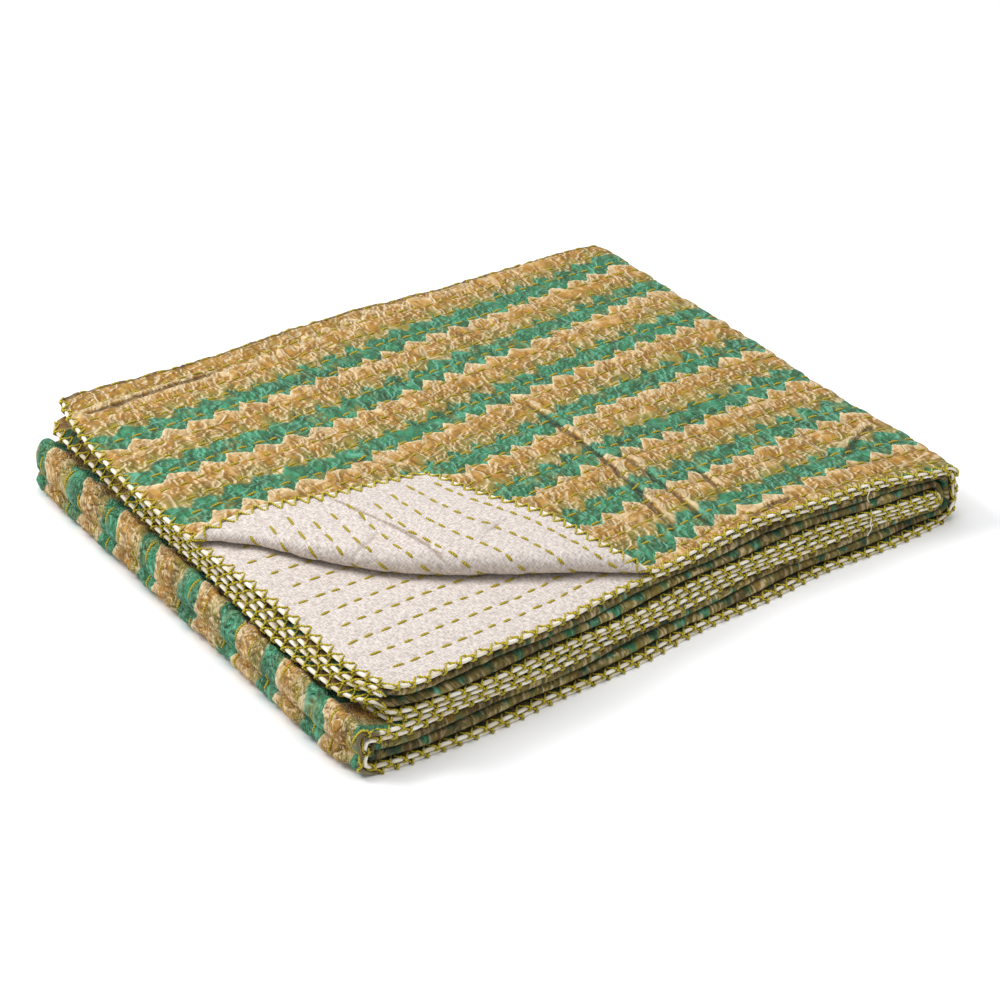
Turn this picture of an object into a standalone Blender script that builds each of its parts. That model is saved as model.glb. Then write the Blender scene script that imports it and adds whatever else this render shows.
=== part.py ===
"""Kantha quilt folded in quarters both ways, with one corner of its top ply turned back.

The quilt is one stitched sheet, so it is one solid. A point of the uncut sheet is
(along, across): along follows the stack's long side, across its short side, and both
start at the corner that is turned back. Two folding paths place that point:

* across its width the sheet has four plies, which make one packet: ply a (print up),
  the outer back fold, ply d, the front fold, ply c, the inner back fold, ply b;
* along its length the packet has four layers: the top layer, the outer right bend,
  the bottom layer, the left bend, the second layer, the inner right bend, the third layer.

Heights are counted in levels of one ply, from 0.5 for the bottom ply to 15.5 for the top
ply. A level becomes metres through the ply pitch, which is larger at the loose hems on
the left than at the pressed folds on the right.

Frame: metres, +X to the right along the long side, +Y to the back, +Z up. The origin is
the middle of the underside, which is flat.
"""

from typing import NamedTuple

import bmesh
import bpy
import numpy as np
from mathutils import Vector

# Stack and cloth
STACK_LENGTH = 0.460
STACK_DEPTH_LEFT = 0.368
STACK_DEPTH_RIGHT = 0.380
CLOTH_THICKNESS = 0.0016
HEM_THICKENING = 0.24
HEM_WIDTH = 0.005
LOOSE_HEM_WIDTH = 0.017
BEND_LEAD = 0.020
RIM_BULGE = 0.0008
PITCH_LEFT = 0.00375
PITCH_RIGHT = 0.00260
RESTING_HEIGHT = 0.0
BOTTOM_LEVEL = 0.5
TOP_LEVEL = 15.5
PACKET_HALF = 1.5
NORMAL_STEP = 0.0002
BORDER_TOLERANCE = 0.0000001
TAPER_FIRST_SHARE = -0.1
TAPER_LAST_SHARE = 1.1

# Plan outline of the stack, measured from its near left corner
FRONT_CORNER_REACH = 0.007
FRONT_HOLLOW = 0.024
FRONT_HOLLOW_MIDDLE = 0.310
FRONT_HOLLOW_HALF_WIDTH = 0.270
FOOT_REACH = 0.012
FOOT_RETREAT_START = 0.100
FOOT_RETREAT_END = 0.350
HEM_STEP_FADE = 0.050
LAYER_BREAK_LEVEL = 8.0
LAYER_BREAK_HALF = 0.4
EDGE_WAVE = 0.0012
EDGE_WAVE_FADE = 0.040
FRONT_WAVE_LENGTH = 0.110
SIDE_WAVE_LENGTH = 0.170
WAVE_TURN_PER_LEVEL = 0.7
LOBE_STICK_OUT = 0.004

# Soft waves of the layers
SWELL = 0.0009
SWELL_LENGTH_X = 0.310
SWELL_LENGTH_Y = 0.260
CROSS_SWELL = 0.0004
CROSS_SWELL_LENGTH_X = 0.290
CROSS_SWELL_LENGTH_Y = 0.230
PLY_WAVE_SHARE = 0.28
PLY_WAVE_SPARE = 0.00040
PLY_WAVE_LENGTH_X = 0.310
PLY_WAVE_LENGTH_Y = 0.240
PLY_WAVE_TURN_PER_LEVEL = 2.1
FRONT_LIFT = 0.0020
FRONT_LIFT_X = 0.305
FRONT_LIFT_HALF_WIDTH = 0.034
FRONT_LIFT_FADE = 0.040
FRONT_LIFT_LEVEL = 14.0

# Loose left hems sag over the hems that are tucked in, and the left bend puffs up to them
HEM_SAG = 0.0040
HEM_SAG_KEPT_AT_TOP = 0.2
HEM_SAG_LEVEL = 11.5
HEM_SAG_START_X = 0.004
HEM_SAG_FULL_X = -0.008
LOBE_PUFF = 0.0080
LOBE_PUFF_LEVEL = 7.5
LOBE_PUFF_FOOT = 4.0
LOBE_PUFF_START_X = -0.003
LOBE_PUFF_FULL_X = -0.013

# Turned-back corner: the fold runs from the left hem to the front hem
FOLD_LEFT_X = 0.0183
FOLD_LEFT_Y = 0.1608
FOLD_FRONT_X = 0.2262
FOLD_FRONT_Y = -0.0003
FOLD_BOW = 0.0188
FOLD_BOW_SKEW = 0.76
FOLD_BOW_SHARPNESS = 1.6
ROLL_RADIUS_END = 0.0032
ROLL_RADIUS_MIDDLE = 0.0069
ROLL_EVENNESS = 2.6
FLAP_STRETCH = 1.046
FLAP_SHEAR = 0.096
FLAP_REST_HEIGHT = 0.0060
FLAP_SETTLE_LENGTH = 0.105
FLAP_CROWN = 0.0025
FLAP_CUTS = (-0.004, 0.002, 0.007, 0.011, 0.015, 0.019, 0.023, 0.028, 0.034, 0.044, 0.060, 0.085)
CROSS_CUT_SHARES = (-0.03, 0.03, 0.065, 0.10, 0.18, 0.26, 0.35, 0.44, 0.53, 0.62, 0.71, 0.79, 0.86, 0.92, 0.97)
CROSS_CUT_MARGIN = 0.010

CLOTH_COLOUR = (0.36, 0.31, 0.13, 1.0)
CLOTH_ROUGHNESS = 0.9


class AlongRun(NamedTuple):
    """A straight layer of the packet: x limits, level of its middle, print side up or down."""

    start_x: float
    end_x: float
    level: float
    print_up: float
    steps: int


class AlongBend(NamedTuple):
    """An end bend of the packet, swept from its first to its last angle in degrees.

    inner_reach is how far the innermost ply stands out, reach_step is what each further
    ply adds, roundness is the exponent of its superellipse, and grooves are the levels
    at which the outer plies are drawn in by groove_depth.
    """

    centre_x: float
    side: float
    level: float
    radius: float
    print_out: float
    first_angle: float
    last_angle: float
    inner_reach: float
    reach_step: float
    roundness: float
    grooves: tuple
    groove_depth: float
    steps: int


class AcrossRun(NamedTuple):
    """A ply of the packet: its offset in plies and its start and end, 0 front and 1 back."""

    offset: float
    start: float
    end: float
    steps: int


class AcrossBend(NamedTuple):
    """A lengthwise fold: offsets that it joins, side (1 back, -1 front) and its reach in plies."""

    first_offset: float
    last_offset: float
    side: float
    reach: float
    steps: int


class HemStep(NamedTuple):
    """A ply's left hem: its level, its shift in x at both ends, and its even and skewed bow."""

    level: float
    near: float
    far: float
    bow: float
    skew: float


class EdgeStep(NamedTuple):
    """A ply's front edge: its offset in the packet, and how far back it lies."""

    offset: float
    back: float


LEFT_HEM_X = 0.004
GROOVE_HALF_HEIGHT = 1.1
RIGHT_BEND_X = 0.4435
INNER_BEND_X = 0.4405
LEFT_BEND_X = -0.004

OUTER_GROOVES = (12.0, 4.0)
LOBE_GROOVE = (4.0,)
NO_GROOVES = ()

ALONG_SECTIONS = (
    AlongRun(start_x=LEFT_HEM_X, end_x=RIGHT_BEND_X, level=14.0, print_up=1.0, steps=9),
    AlongBend(
        centre_x=RIGHT_BEND_X, side=1.0, level=8.0, radius=6.0, print_out=1.0,
        first_angle=90.0, last_angle=-90.0, inner_reach=0.0090, reach_step=0.0030,
        roundness=3.6, grooves=OUTER_GROOVES, groove_depth=0.0020, steps=12,
    ),
    AlongRun(start_x=RIGHT_BEND_X, end_x=LEFT_BEND_X, level=2.0, print_up=-1.0, steps=6),
    AlongBend(
        centre_x=LEFT_BEND_X, side=-1.0, level=4.0, radius=2.0, print_out=1.0,
        first_angle=-90.0, last_angle=90.0, inner_reach=0.0028, reach_step=0.0043,
        roundness=2.6, grooves=LOBE_GROOVE, groove_depth=0.0048, steps=12,
    ),
    AlongRun(start_x=LEFT_BEND_X, end_x=INNER_BEND_X, level=6.0, print_up=1.0, steps=6),
    AlongBend(
        centre_x=INNER_BEND_X, side=1.0, level=8.0, radius=2.0, print_out=-1.0,
        first_angle=-90.0, last_angle=90.0, inner_reach=0.0013, reach_step=0.0025,
        roundness=2.2, grooves=NO_GROOVES, groove_depth=0.0, steps=6,
    ),
    AlongRun(start_x=INNER_BEND_X, end_x=LEFT_HEM_X, level=10.0, print_up=-1.0, steps=6),
)

ACROSS_SECTIONS = (
    AcrossRun(offset=1.5, start=0.0, end=1.0, steps=6),
    AcrossBend(first_offset=1.5, last_offset=-1.5, side=1.0, reach=1.65, steps=5),
    AcrossRun(offset=-1.5, start=1.0, end=0.0, steps=6),
    AcrossBend(first_offset=-1.5, last_offset=-0.5, side=-1.0, reach=0.6, steps=3),
    AcrossRun(offset=-0.5, start=0.0, end=1.0, steps=6),
    AcrossBend(first_offset=-0.5, last_offset=0.5, side=1.0, reach=0.5, steps=3),
    AcrossRun(offset=0.5, start=1.0, end=0.0, steps=6),
)

HEM_STEPS = (
    HemStep(level=8.5, near=-0.0010, far=-0.0010, bow=0.0, skew=0.0),
    HemStep(level=9.5, near=-0.0010, far=-0.0010, bow=0.0, skew=0.0),
    HemStep(level=10.5, near=-0.0020, far=-0.0010, bow=0.0, skew=0.0),
    HemStep(level=11.5, near=-0.0107, far=-0.0126, bow=0.0009, skew=0.0017),
    HemStep(level=12.5, near=-0.0056, far=0.0020, bow=0.0096, skew=0.0),
    HemStep(level=13.5, near=-0.0049, far=0.0040, bow=0.0106, skew=-0.0005),
    HemStep(level=14.5, near=-0.0012, far=-0.0016, bow=0.0105, skew=-0.0010),
    HemStep(level=15.5, near=0.0, far=-0.0016, bow=0.0133, skew=-0.0061),
)

EDGE_STEPS = (
    EdgeStep(offset=-1.5, back=0.0034),
    EdgeStep(offset=-0.5, back=0.0034),
    EdgeStep(offset=0.5, back=-0.0004),
    EdgeStep(offset=1.5, back=0.0),
)


class RoundedCorner(NamedTuple):
    """A plan corner that is drawn in: its place, its side, its width, its pull, its lowest level."""

    x: float
    y: float
    side_x: float
    side_y: float
    width: float
    pull: float
    lowest: float


ROUNDED_CORNERS = (
    RoundedCorner(STACK_LENGTH, STACK_DEPTH_RIGHT, 1.0, 1.0, 0.032, 0.0080, 0.0),
    RoundedCorner(0.0, 0.0, -1.0, -1.0, 0.022, 0.0060, 0.0),
    RoundedCorner(0.0, 0.0, -1.0, -1.0, 0.034, 0.0120, LAYER_BREAK_LEVEL),
    RoundedCorner(STACK_LENGTH, 0.0, 1.0, -1.0, 0.020, 0.0060, 0.0),
    RoundedCorner(0.0, STACK_DEPTH_LEFT, -1.0, 1.0, 0.020, 0.0070, 0.0),
)

LEFT_BEND = 3
ARC_SAMPLES = 721
CUT_MERGE_DISTANCE = 0.00001


def smooth_step(value, low, high):
    """Rise from 0 at low to 1 at high with level ends."""
    part = np.clip((value - low) / (high - low), 0.0, 1.0)
    return part * part * (3.0 - 2.0 * part)


def pitch_at(x):
    """Ply pitch at a plan position: it falls evenly from the left side to the right side."""
    part = np.clip(x / STACK_LENGTH, TAPER_FIRST_SHARE, TAPER_LAST_SHARE)
    return PITCH_LEFT + (PITCH_RIGHT - PITCH_LEFT) * part


def bend_place(bend, angle, offset):
    """Return x and level of a bend's ply at an angle: a superellipse with drawn-in grooves."""
    nest = bend.print_out * offset + PACKET_HALF
    power = 2.0 / bend.roundness
    rise = np.sign(np.sin(angle)) * np.abs(np.sin(angle)) ** power
    swell = np.abs(np.cos(angle)) ** power
    level = bend.level + (bend.radius + bend.print_out * offset) * rise
    reach = bend.inner_reach + bend.reach_step * nest
    for groove in bend.grooves:
        closeness = np.exp(-(((level - groove) / GROOVE_HALF_HEIGHT) ** 2))
        reach = reach - bend.groove_depth * nest / (2.0 * PACKET_HALF) * closeness
    return bend.centre_x + bend.side * reach * swell, level


def bend_arc(bend):
    """Return the bend's angles and the share of its mid-ply arc length that each has reached."""
    angles = np.radians(np.linspace(bend.first_angle, bend.last_angle, ARC_SAMPLES))
    x, level = bend_place(bend, angles, 0.0)
    height = level * pitch_at(bend.centre_x)
    steps = np.hypot(np.diff(x), np.diff(height))
    reached = np.concatenate(([0.0], np.cumsum(steps)))
    return angles, reached / reached[-1], reached[-1]


def section_lengths_along():
    """Return the cloth length of each section along the sheet."""
    lengths = []
    for section in ALONG_SECTIONS:
        if isinstance(section, AlongRun):
            lengths.append(abs(section.end_x - section.start_x))
        else:
            lengths.append(bend_arc(section)[2])
    return lengths


def section_lengths_across():
    """Return the cloth length of each section across the sheet, at the mean pitch."""
    mean_depth = 0.5 * (STACK_DEPTH_LEFT + STACK_DEPTH_RIGHT)
    mean_pitch = 0.5 * (PITCH_LEFT + PITCH_RIGHT)
    lengths = []
    for section in ACROSS_SECTIONS:
        if isinstance(section, AcrossRun):
            lengths.append(mean_depth)
        else:
            half_height = 0.5 * abs(section.last_offset - section.first_offset)
            mean_radius = 0.5 * (half_height + section.reach)
            lengths.append(np.pi * mean_radius * mean_pitch)
    return lengths


ALONG_ENDS = np.concatenate(([0.0], np.cumsum(section_lengths_along())))
ACROSS_ENDS = np.concatenate(([0.0], np.cumsum(section_lengths_across())))
CLOTH_LENGTH = float(ALONG_ENDS[-1])
CLOTH_WIDTH = float(ACROSS_ENDS[-1])


def section_share(value, ends):
    """Return the section that each value lies in, and its share of that section's length."""
    index = np.clip(np.searchsorted(ends, value, side="right") - 1, 0, len(ends) - 2)
    share = (value - ends[index]) / (ends[index + 1] - ends[index])
    return index, share


def across_place(across):
    """Place points across the sheet: offset in plies, share of the depth, reach past the edge."""
    index, share = section_share(across, ACROSS_ENDS)
    offset = np.zeros_like(across)
    depth_share = np.zeros_like(across)
    reach = np.zeros_like(across)
    for number, section in enumerate(ACROSS_SECTIONS):
        here = index == number
        part = share[here]
        if isinstance(section, AcrossRun):
            offset[here] = section.offset
            depth_share[here] = section.start + (section.end - section.start) * part
        else:
            middle = 0.5 * (section.first_offset + section.last_offset)
            half = 0.5 * (section.first_offset - section.last_offset)
            offset[here] = middle + half * np.cos(np.pi * part)
            depth_share[here] = 0.5 * (1.0 + section.side)
            reach[here] = section.side * section.reach * np.sin(np.pi * part)
    return offset, depth_share, reach


def along_place(along, offset):
    """Place points along the sheet: plan x and level, for a ply at the given offset."""
    index, share = section_share(along, ALONG_ENDS)
    x = np.zeros_like(along)
    level = np.zeros_like(along)
    for number, section in enumerate(ALONG_SECTIONS):
        here = index == number
        if isinstance(section, AlongRun):
            x[here] = section.start_x + (section.end_x - section.start_x) * share[here]
            level[here] = section.level + section.print_up * offset[here]
        else:
            angles, reached, _ = bend_arc(section)
            angle = np.interp(share[here], reached, angles)
            x[here], level[here] = bend_place(section, angle, offset[here])
    return x, level


def step_at(value, steps):
    """Return the columns after the first of a table of steps, read between its rows."""
    columns = np.array(steps).T
    return [np.interp(value, columns[0], column) for column in columns[1:]]


def front_edge(x, level):
    """Return y of the front edge: hollow at the top, and straighter and further out below."""
    part = np.clip((x - FRONT_HOLLOW_MIDDLE) / FRONT_HOLLOW_HALF_WIDTH, -1.0, 1.0)
    top = -FRONT_CORNER_REACH + FRONT_HOLLOW * np.cos(0.5 * np.pi * part) ** 2
    foot = -FOOT_REACH + FOOT_REACH * smooth_step(x, FOOT_RETREAT_START, FOOT_RETREAT_END)
    share = (level - BOTTOM_LEVEL) / (TOP_LEVEL - BOTTOM_LEVEL)
    wave = EDGE_WAVE * np.sin(2.0 * np.pi * x / FRONT_WAVE_LENGTH + WAVE_TURN_PER_LEVEL * level)
    return foot + (top - foot) * share + wave


def back_edge(x):
    """Return y of the back edge, a little further back on the right, with a soft wave."""
    depth = STACK_DEPTH_LEFT + (STACK_DEPTH_RIGHT - STACK_DEPTH_LEFT) * x / STACK_LENGTH
    return depth + EDGE_WAVE * np.sin(2.0 * np.pi * x / SIDE_WAVE_LENGTH)


def side_shift(x, y, level):
    """Return the plan shift in x of the hems and bends at the two short sides."""
    upper = above_break(level, LAYER_BREAK_LEVEL)
    near_left = np.exp(-np.clip(x, 0.0, None) / HEM_STEP_FADE)
    hem_wave = EDGE_WAVE * np.sin(2.0 * np.pi * y / SIDE_WAVE_LENGTH + WAVE_TURN_PER_LEVEL * level)
    depth_share = np.clip(y / STACK_DEPTH_LEFT, 0.0, 1.0)
    near, far, bow, skew = step_at(level, HEM_STEPS)
    hem_step = near + (far - near) * depth_share
    hem_bow = bow * np.sin(np.pi * depth_share) + skew * np.sin(2.0 * np.pi * depth_share)
    hems = hem_step + hem_wave - hem_bow
    lobes = -LOBE_STICK_OUT * smooth_step(y, 0.0, STACK_DEPTH_LEFT)
    near_right = np.exp(-np.clip(STACK_LENGTH - x, 0.0, None) / EDGE_WAVE_FADE)
    right = EDGE_WAVE * np.sin(2.0 * np.pi * y / SIDE_WAVE_LENGTH)
    return near_left * (upper * hems + (1.0 - upper) * lobes) + near_right * right


def above_break(level, lowest):
    """Return 1 for the plies above a level and 0 for those below it, with a soft change."""
    return smooth_step(level, lowest - LAYER_BREAK_HALF, lowest + LAYER_BREAK_HALF)


def corner_pull(x, y, level):
    """Draw the plan corners in, so that they are round: the pull grows with both closenesses."""
    shift_x = np.zeros_like(x)
    shift_y = np.zeros_like(y)
    for corner in ROUNDED_CORNERS:
        near_x = smooth_step(corner.side_x * (x - corner.x), -corner.width, corner.width)
        near_y = smooth_step(corner.side_y * (y - corner.y), -corner.width, corner.width)
        pull = corner.pull * near_x * near_y * above_break(level, corner.lowest)
        shift_x -= corner.side_x * pull
        shift_y -= corner.side_y * pull
    return x + shift_x, y + shift_y


def loose_end(x, level):
    """Return the rise of a ply past the tucked hems: the hems sag and the left bend puffs up."""
    past_hems = 1.0 - smooth_step(x, HEM_SAG_FULL_X, HEM_SAG_START_X)
    past_bend = 1.0 - smooth_step(x, LOBE_PUFF_FULL_X, LOBE_PUFF_START_X)
    above = smooth_step(level, LOBE_PUFF_LEVEL, HEM_SAG_LEVEL)
    eased = 1.0 - (1.0 - HEM_SAG_KEPT_AT_TOP) * smooth_step(level, HEM_SAG_LEVEL, TOP_LEVEL)
    raised = smooth_step(level, LOBE_PUFF_FOOT, LOBE_PUFF_LEVEL) * (1.0 - above)
    return LOBE_PUFF * past_bend * raised - HEM_SAG * past_hems * above * eased


def height_at(x, y, level):
    """Return z of a ply's middle: its level times the pitch, with swells and ply waves."""
    pitch = pitch_at(x)
    share = np.clip((level - BOTTOM_LEVEL) / (TOP_LEVEL - BOTTOM_LEVEL), 0.0, 1.0)
    turn_x = 2.0 * np.pi * x
    turn_y = 2.0 * np.pi * y
    swell = SWELL * np.sin(turn_x / SWELL_LENGTH_X) * np.cos(turn_y / SWELL_LENGTH_Y)
    cross = CROSS_SWELL * np.sin(turn_x / CROSS_SWELL_LENGTH_X - turn_y / CROSS_SWELL_LENGTH_Y)
    room = pitch - CLOTH_THICKNESS - PLY_WAVE_SPARE
    free = smooth_step(level, BOTTOM_LEVEL, BOTTOM_LEVEL + PACKET_HALF)
    phase = turn_x / PLY_WAVE_LENGTH_X + turn_y / PLY_WAVE_LENGTH_Y + PLY_WAVE_TURN_PER_LEVEL * level
    ply_wave = PLY_WAVE_SHARE * room * np.sin(phase) * free
    lift_x = np.exp(-(((x - FRONT_LIFT_X) / FRONT_LIFT_HALF_WIDTH) ** 2))
    lift_y = np.exp(-np.clip(y - front_edge(x, level), 0.0, None) / FRONT_LIFT_FADE)
    lift = FRONT_LIFT * lift_x * lift_y * smooth_step(level, FRONT_LIFT_LEVEL - 1.0, FRONT_LIFT_LEVEL)
    base = 0.5 * CLOTH_THICKNESS + (level - BOTTOM_LEVEL) * pitch
    return base + (swell + cross) * share + ply_wave + lift + loose_end(x, level)


def frame_between(start, end):
    """Return a line's start, the unit vector along it, the unit normal and its length."""
    length = float(np.linalg.norm(end - start))
    tangent = (end - start) / length
    normal = np.array([-tangent[1], tangent[0]])
    return start, tangent, normal, length


def fold_frame():
    """Return the turned corner's fold: left end, unit vector along it, unit normal, length."""
    start = np.array([FOLD_LEFT_X, FOLD_LEFT_Y])
    return frame_between(start, np.array([FOLD_FRONT_X, FOLD_FRONT_Y]))


def fold_bow(share):
    """Return how far the fold bows towards the near corner at a share of its length."""
    part = np.clip(share, 0.0, 1.0) ** FOLD_BOW_SKEW
    return FOLD_BOW * np.sin(np.pi * part) ** FOLD_BOW_SHARPNESS


def turn_corner(x, y, z):
    """Turn the top ply's near corner back: round a roll, then over its own ply to the tip."""
    start, tangent, normal, length = fold_frame()
    lateral = (x - start[0]) * tangent[0] + (y - start[1]) * tangent[1]
    ahead = -((x - start[0]) * normal[0] + (y - start[1]) * normal[1])
    share = np.clip(lateral / length, 0.0, 1.0)
    bow = fold_bow(share)
    past = ahead - bow
    opening = 1.0 - np.abs(2.0 * share - 1.0) ** ROLL_EVENNESS
    radius = ROLL_RADIUS_END + (ROLL_RADIUS_MIDDLE - ROLL_RADIUS_END) * opening
    rolled = np.clip(past / radius, 0.0, np.pi)
    beyond = np.clip(past - np.pi * radius, 0.0, None)
    settle = smooth_step(beyond, 0.0, FLAP_SETTLE_LENGTH)
    reach = bow + radius * np.sin(rolled) - FLAP_STRETCH * beyond
    rise = radius * (1.0 - np.cos(rolled))
    rise = rise + (FLAP_REST_HEIGHT - 2.0 * radius) * settle
    rise = rise + FLAP_CROWN * np.sin(np.pi * settle)
    lateral = lateral + FLAP_SHEAR * beyond
    turned_x = start[0] + lateral * tangent[0] - reach * normal[0]
    turned_y = start[1] + lateral * tangent[1] - reach * normal[1]
    turned_z = height_at(turned_x, turned_y, np.full_like(x, TOP_LEVEL)) + rise
    turned = past > 0.0
    return np.where(turned, turned_x, x), np.where(turned, turned_y, y), np.where(turned, turned_z, z)


def cloth_points(along, across):
    """Place points of the flat sheet's middle in the folded stack, as rows of x, y, z."""
    offset, depth_share, reach = across_place(across)
    x, level = along_place(along, offset)
    front = front_edge(x, level) + step_at(offset, EDGE_STEPS)[0]
    y = front + (back_edge(x) - front) * depth_share + reach * pitch_at(x)
    x = x + side_shift(x, y, level)
    x, y = corner_pull(x, y, level)
    z = height_at(x, y, level)
    in_top_ply = (along < ALONG_ENDS[1]) & (across < ACROSS_ENDS[1])
    turned_x, turned_y, turned_z = turn_corner(x, y, z)
    x = np.where(in_top_ply, turned_x, x)
    y = np.where(in_top_ply, turned_y, y)
    z = np.where(in_top_ply, turned_z, z)
    return np.column_stack((x, y, z))


def print_normals(along, across):
    """Return unit normals on the print side, from small steps along and across the sheet."""
    along_step = cloth_points(along + NORMAL_STEP, across) - cloth_points(along - NORMAL_STEP, across)
    across_step = cloth_points(along, across + NORMAL_STEP) - cloth_points(along, across - NORMAL_STEP)
    normals = np.cross(along_step, across_step)
    return normals / np.linalg.norm(normals, axis=1, keepdims=True)


def cloth_thickness(along, across, x):
    """Return the sheet's thickness: even, and fuller at the hems as far as the pitch allows."""
    to_edge = np.minimum.reduce([along, CLOTH_LENGTH - along, across, CLOTH_WIDTH - across])
    fullness = np.exp(-((to_edge / HEM_WIDTH) ** 2))
    return CLOTH_THICKNESS + HEM_THICKENING * (pitch_at(x) - CLOTH_THICKNESS) * fullness


def grid_lines(sections, ends, beside_hems):
    """Return the places of the grid lines of one direction, with lines beside each hem."""
    lines = []
    for number, section in enumerate(sections):
        stops = np.linspace(ends[number], ends[number + 1], section.steps + 1)
        lines.extend(stops[:-1])
    lines.append(ends[-1])
    lines.extend(beside_hems)
    lines.extend(ends[-1] - width for width in beside_hems)
    return sorted(lines)


def flat_fold_ends():
    """Return the two ends of the turned corner's fold on the flat sheet, along and across."""
    x = np.array([FOLD_LEFT_X, FOLD_FRONT_X])
    y = np.array([FOLD_LEFT_Y, FOLD_FRONT_Y])
    front = front_edge(x, TOP_LEVEL)
    along = x - side_shift(x, y, TOP_LEVEL) - LEFT_HEM_X
    across = (y - front) / (back_edge(x) - front) * ACROSS_ENDS[1]
    return np.column_stack((along, across))


def faces_corner(face, start, normal):
    """Tell whether a face of the flat sheet lies on the turned corner, past the fold line."""
    middle = face.calc_center_median()
    return (middle.x - start[0]) * normal[0] + (middle.y - start[1]) * normal[1] < CROSS_CUT_MARGIN


def cut_faces(sheet, faces, place, normal):
    """Cut the given faces of the flat sheet along a line through a place, square to a normal."""
    edges = {edge for face in faces for edge in face.edges}
    verts = {vert for face in faces for vert in face.verts}
    bmesh.ops.bisect_plane(
        sheet,
        geom=list(verts) + list(edges) + list(faces),
        dist=CUT_MERGE_DISTANCE,
        plane_co=Vector((place[0], place[1], 0.0)),
        plane_no=Vector((normal[0], normal[1], 0.0)),
    )


def flat_sheet():
    """Make the uncut sheet as a flat grid of triangles, cut also along the turned corner's fold."""
    along_lines = grid_lines(ALONG_SECTIONS, ALONG_ENDS, (HEM_WIDTH, LOOSE_HEM_WIDTH))
    bend_start, bend_end = ALONG_ENDS[LEFT_BEND], ALONG_ENDS[LEFT_BEND + 1]
    along_lines = sorted(along_lines + [bend_start - BEND_LEAD, bend_end + BEND_LEAD])
    across_lines = grid_lines(ACROSS_SECTIONS, ACROSS_ENDS, (HEM_WIDTH,))
    sheet = bmesh.new()
    rows = [[sheet.verts.new((a, c, 0.0)) for c in across_lines] for a in along_lines]
    for row, next_row in zip(rows, rows[1:]):
        for column in range(len(across_lines) - 1):
            corners = (row[column], next_row[column], next_row[column + 1], row[column + 1])
            sheet.faces.new(corners)
    start, tangent, normal, length = frame_between(*flat_fold_ends())
    for ahead in FLAP_CUTS:
        cut_faces(sheet, sheet.faces[:], start - normal * ahead, normal)
    for share in CROSS_CUT_SHARES:
        corner_faces = [face for face in sheet.faces if faces_corner(face, start, normal)]
        cut_faces(sheet, corner_faces, start + tangent * length * share, tangent)
    bmesh.ops.triangulate(sheet, faces=sheet.faces[:])
    sheet.verts.index_update()
    return sheet


def outward_at_rim(along, across):
    """Return the flat sheet's outward direction at its border, as steps along and across."""
    past_along = np.where(along > CLOTH_LENGTH - BORDER_TOLERANCE, 1.0, 0.0)
    past_across = np.where(across > CLOTH_WIDTH - BORDER_TOLERANCE, 1.0, 0.0)
    step_along = past_along - np.where(along < BORDER_TOLERANCE, 1.0, 0.0)
    step_across = past_across - np.where(across < BORDER_TOLERANCE, 1.0, 0.0)
    return step_along, step_across


def rim_points(along, across):
    """Return the outermost points of the rolled hem, just past the sheet's border."""
    step_along, step_across = outward_at_rim(along, across)
    inner = cloth_points(along - NORMAL_STEP * step_along, across - NORMAL_STEP * step_across)
    border = cloth_points(along, across)
    outward = border - inner
    outward = outward / np.linalg.norm(outward, axis=1, keepdims=True)
    return border + RIM_BULGE * outward


def quilt_mesh():
    """Build the folded quilt's closed mesh: print face, backing face and rolled rim."""
    sheet = flat_sheet()
    along = np.array([vert.co.x for vert in sheet.verts])
    across = np.array([vert.co.y for vert in sheet.verts])
    middle = cloth_points(along, across)
    normals = print_normals(along, across)
    half = 0.5 * cloth_thickness(along, across, middle[:, 0])[:, None]
    count = len(middle)
    border_edges = [edge for edge in sheet.edges if edge.is_boundary]
    border = sorted({vert.index for edge in border_edges for vert in edge.verts})
    rim_number = {vert: 2 * count + place for place, vert in enumerate(border)}
    rim = rim_points(along[border], across[border])
    points = np.vstack((middle + half * normals, middle - half * normals, rim))
    points[:, 2] = np.maximum(points[:, 2], RESTING_HEIGHT)
    faces = []
    for face in sheet.faces:
        corners = [vert.index for vert in face.verts]
        faces.append(corners)
        faces.append([count + vert for vert in reversed(corners)])
    for edge in border_edges:
        loop = edge.link_loops[0]
        first = loop.vert.index
        second = loop.link_loop_next.vert.index
        faces.append([second, first, rim_number[first], rim_number[second]])
        faces.append([count + first, count + second, rim_number[second], rim_number[first]])
    sheet.free()
    low = points.min(axis=0)
    high = points.max(axis=0)
    points = points - np.array([0.5 * (low[0] + high[0]), 0.5 * (low[1] + high[1]), 0.0])
    mesh = bpy.data.meshes.new("quilt")
    mesh.from_pydata(points.tolist(), [], faces)
    mesh.validate()
    mesh.update()
    return mesh


def cloth_material():
    """Make the quilt's plain cloth material."""
    material = bpy.data.materials.new("quilted_cotton")
    material.use_nodes = True
    shader = material.node_tree.nodes["Principled BSDF"]
    shader.inputs["Base Color"].default_value = CLOTH_COLOUR
    shader.inputs["Roughness"].default_value = CLOTH_ROUGHNESS
    shader.inputs["Metallic"].default_value = 0.0
    return material


def clear_scene():
    """Remove every object of the open scene."""
    for old in list(bpy.data.objects):
        bpy.data.objects.remove(old, do_unlink=True)


def main():
    """Build the folded quilt as one object."""
    clear_scene()
    mesh = quilt_mesh()
    mesh.materials.append(cloth_material())
    mesh.shade_smooth()
    quilt = bpy.data.objects.new("quilt", mesh)
    bpy.context.scene.collection.objects.link(quilt)


main()
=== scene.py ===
"""Looks of a kantha quilt, folded in quarters both ways with one top corner turned back.

The printed face, the backing, the rolled hem and all the thread are worked out on the uncut
sheet, in (along, across) metres, and folded into the stack by the same rules as its solid.
"""

import logging
import math
from dataclasses import dataclass, field
from enum import Enum, IntEnum

import bpy
import numpy as np
from mathutils import Matrix


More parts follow.
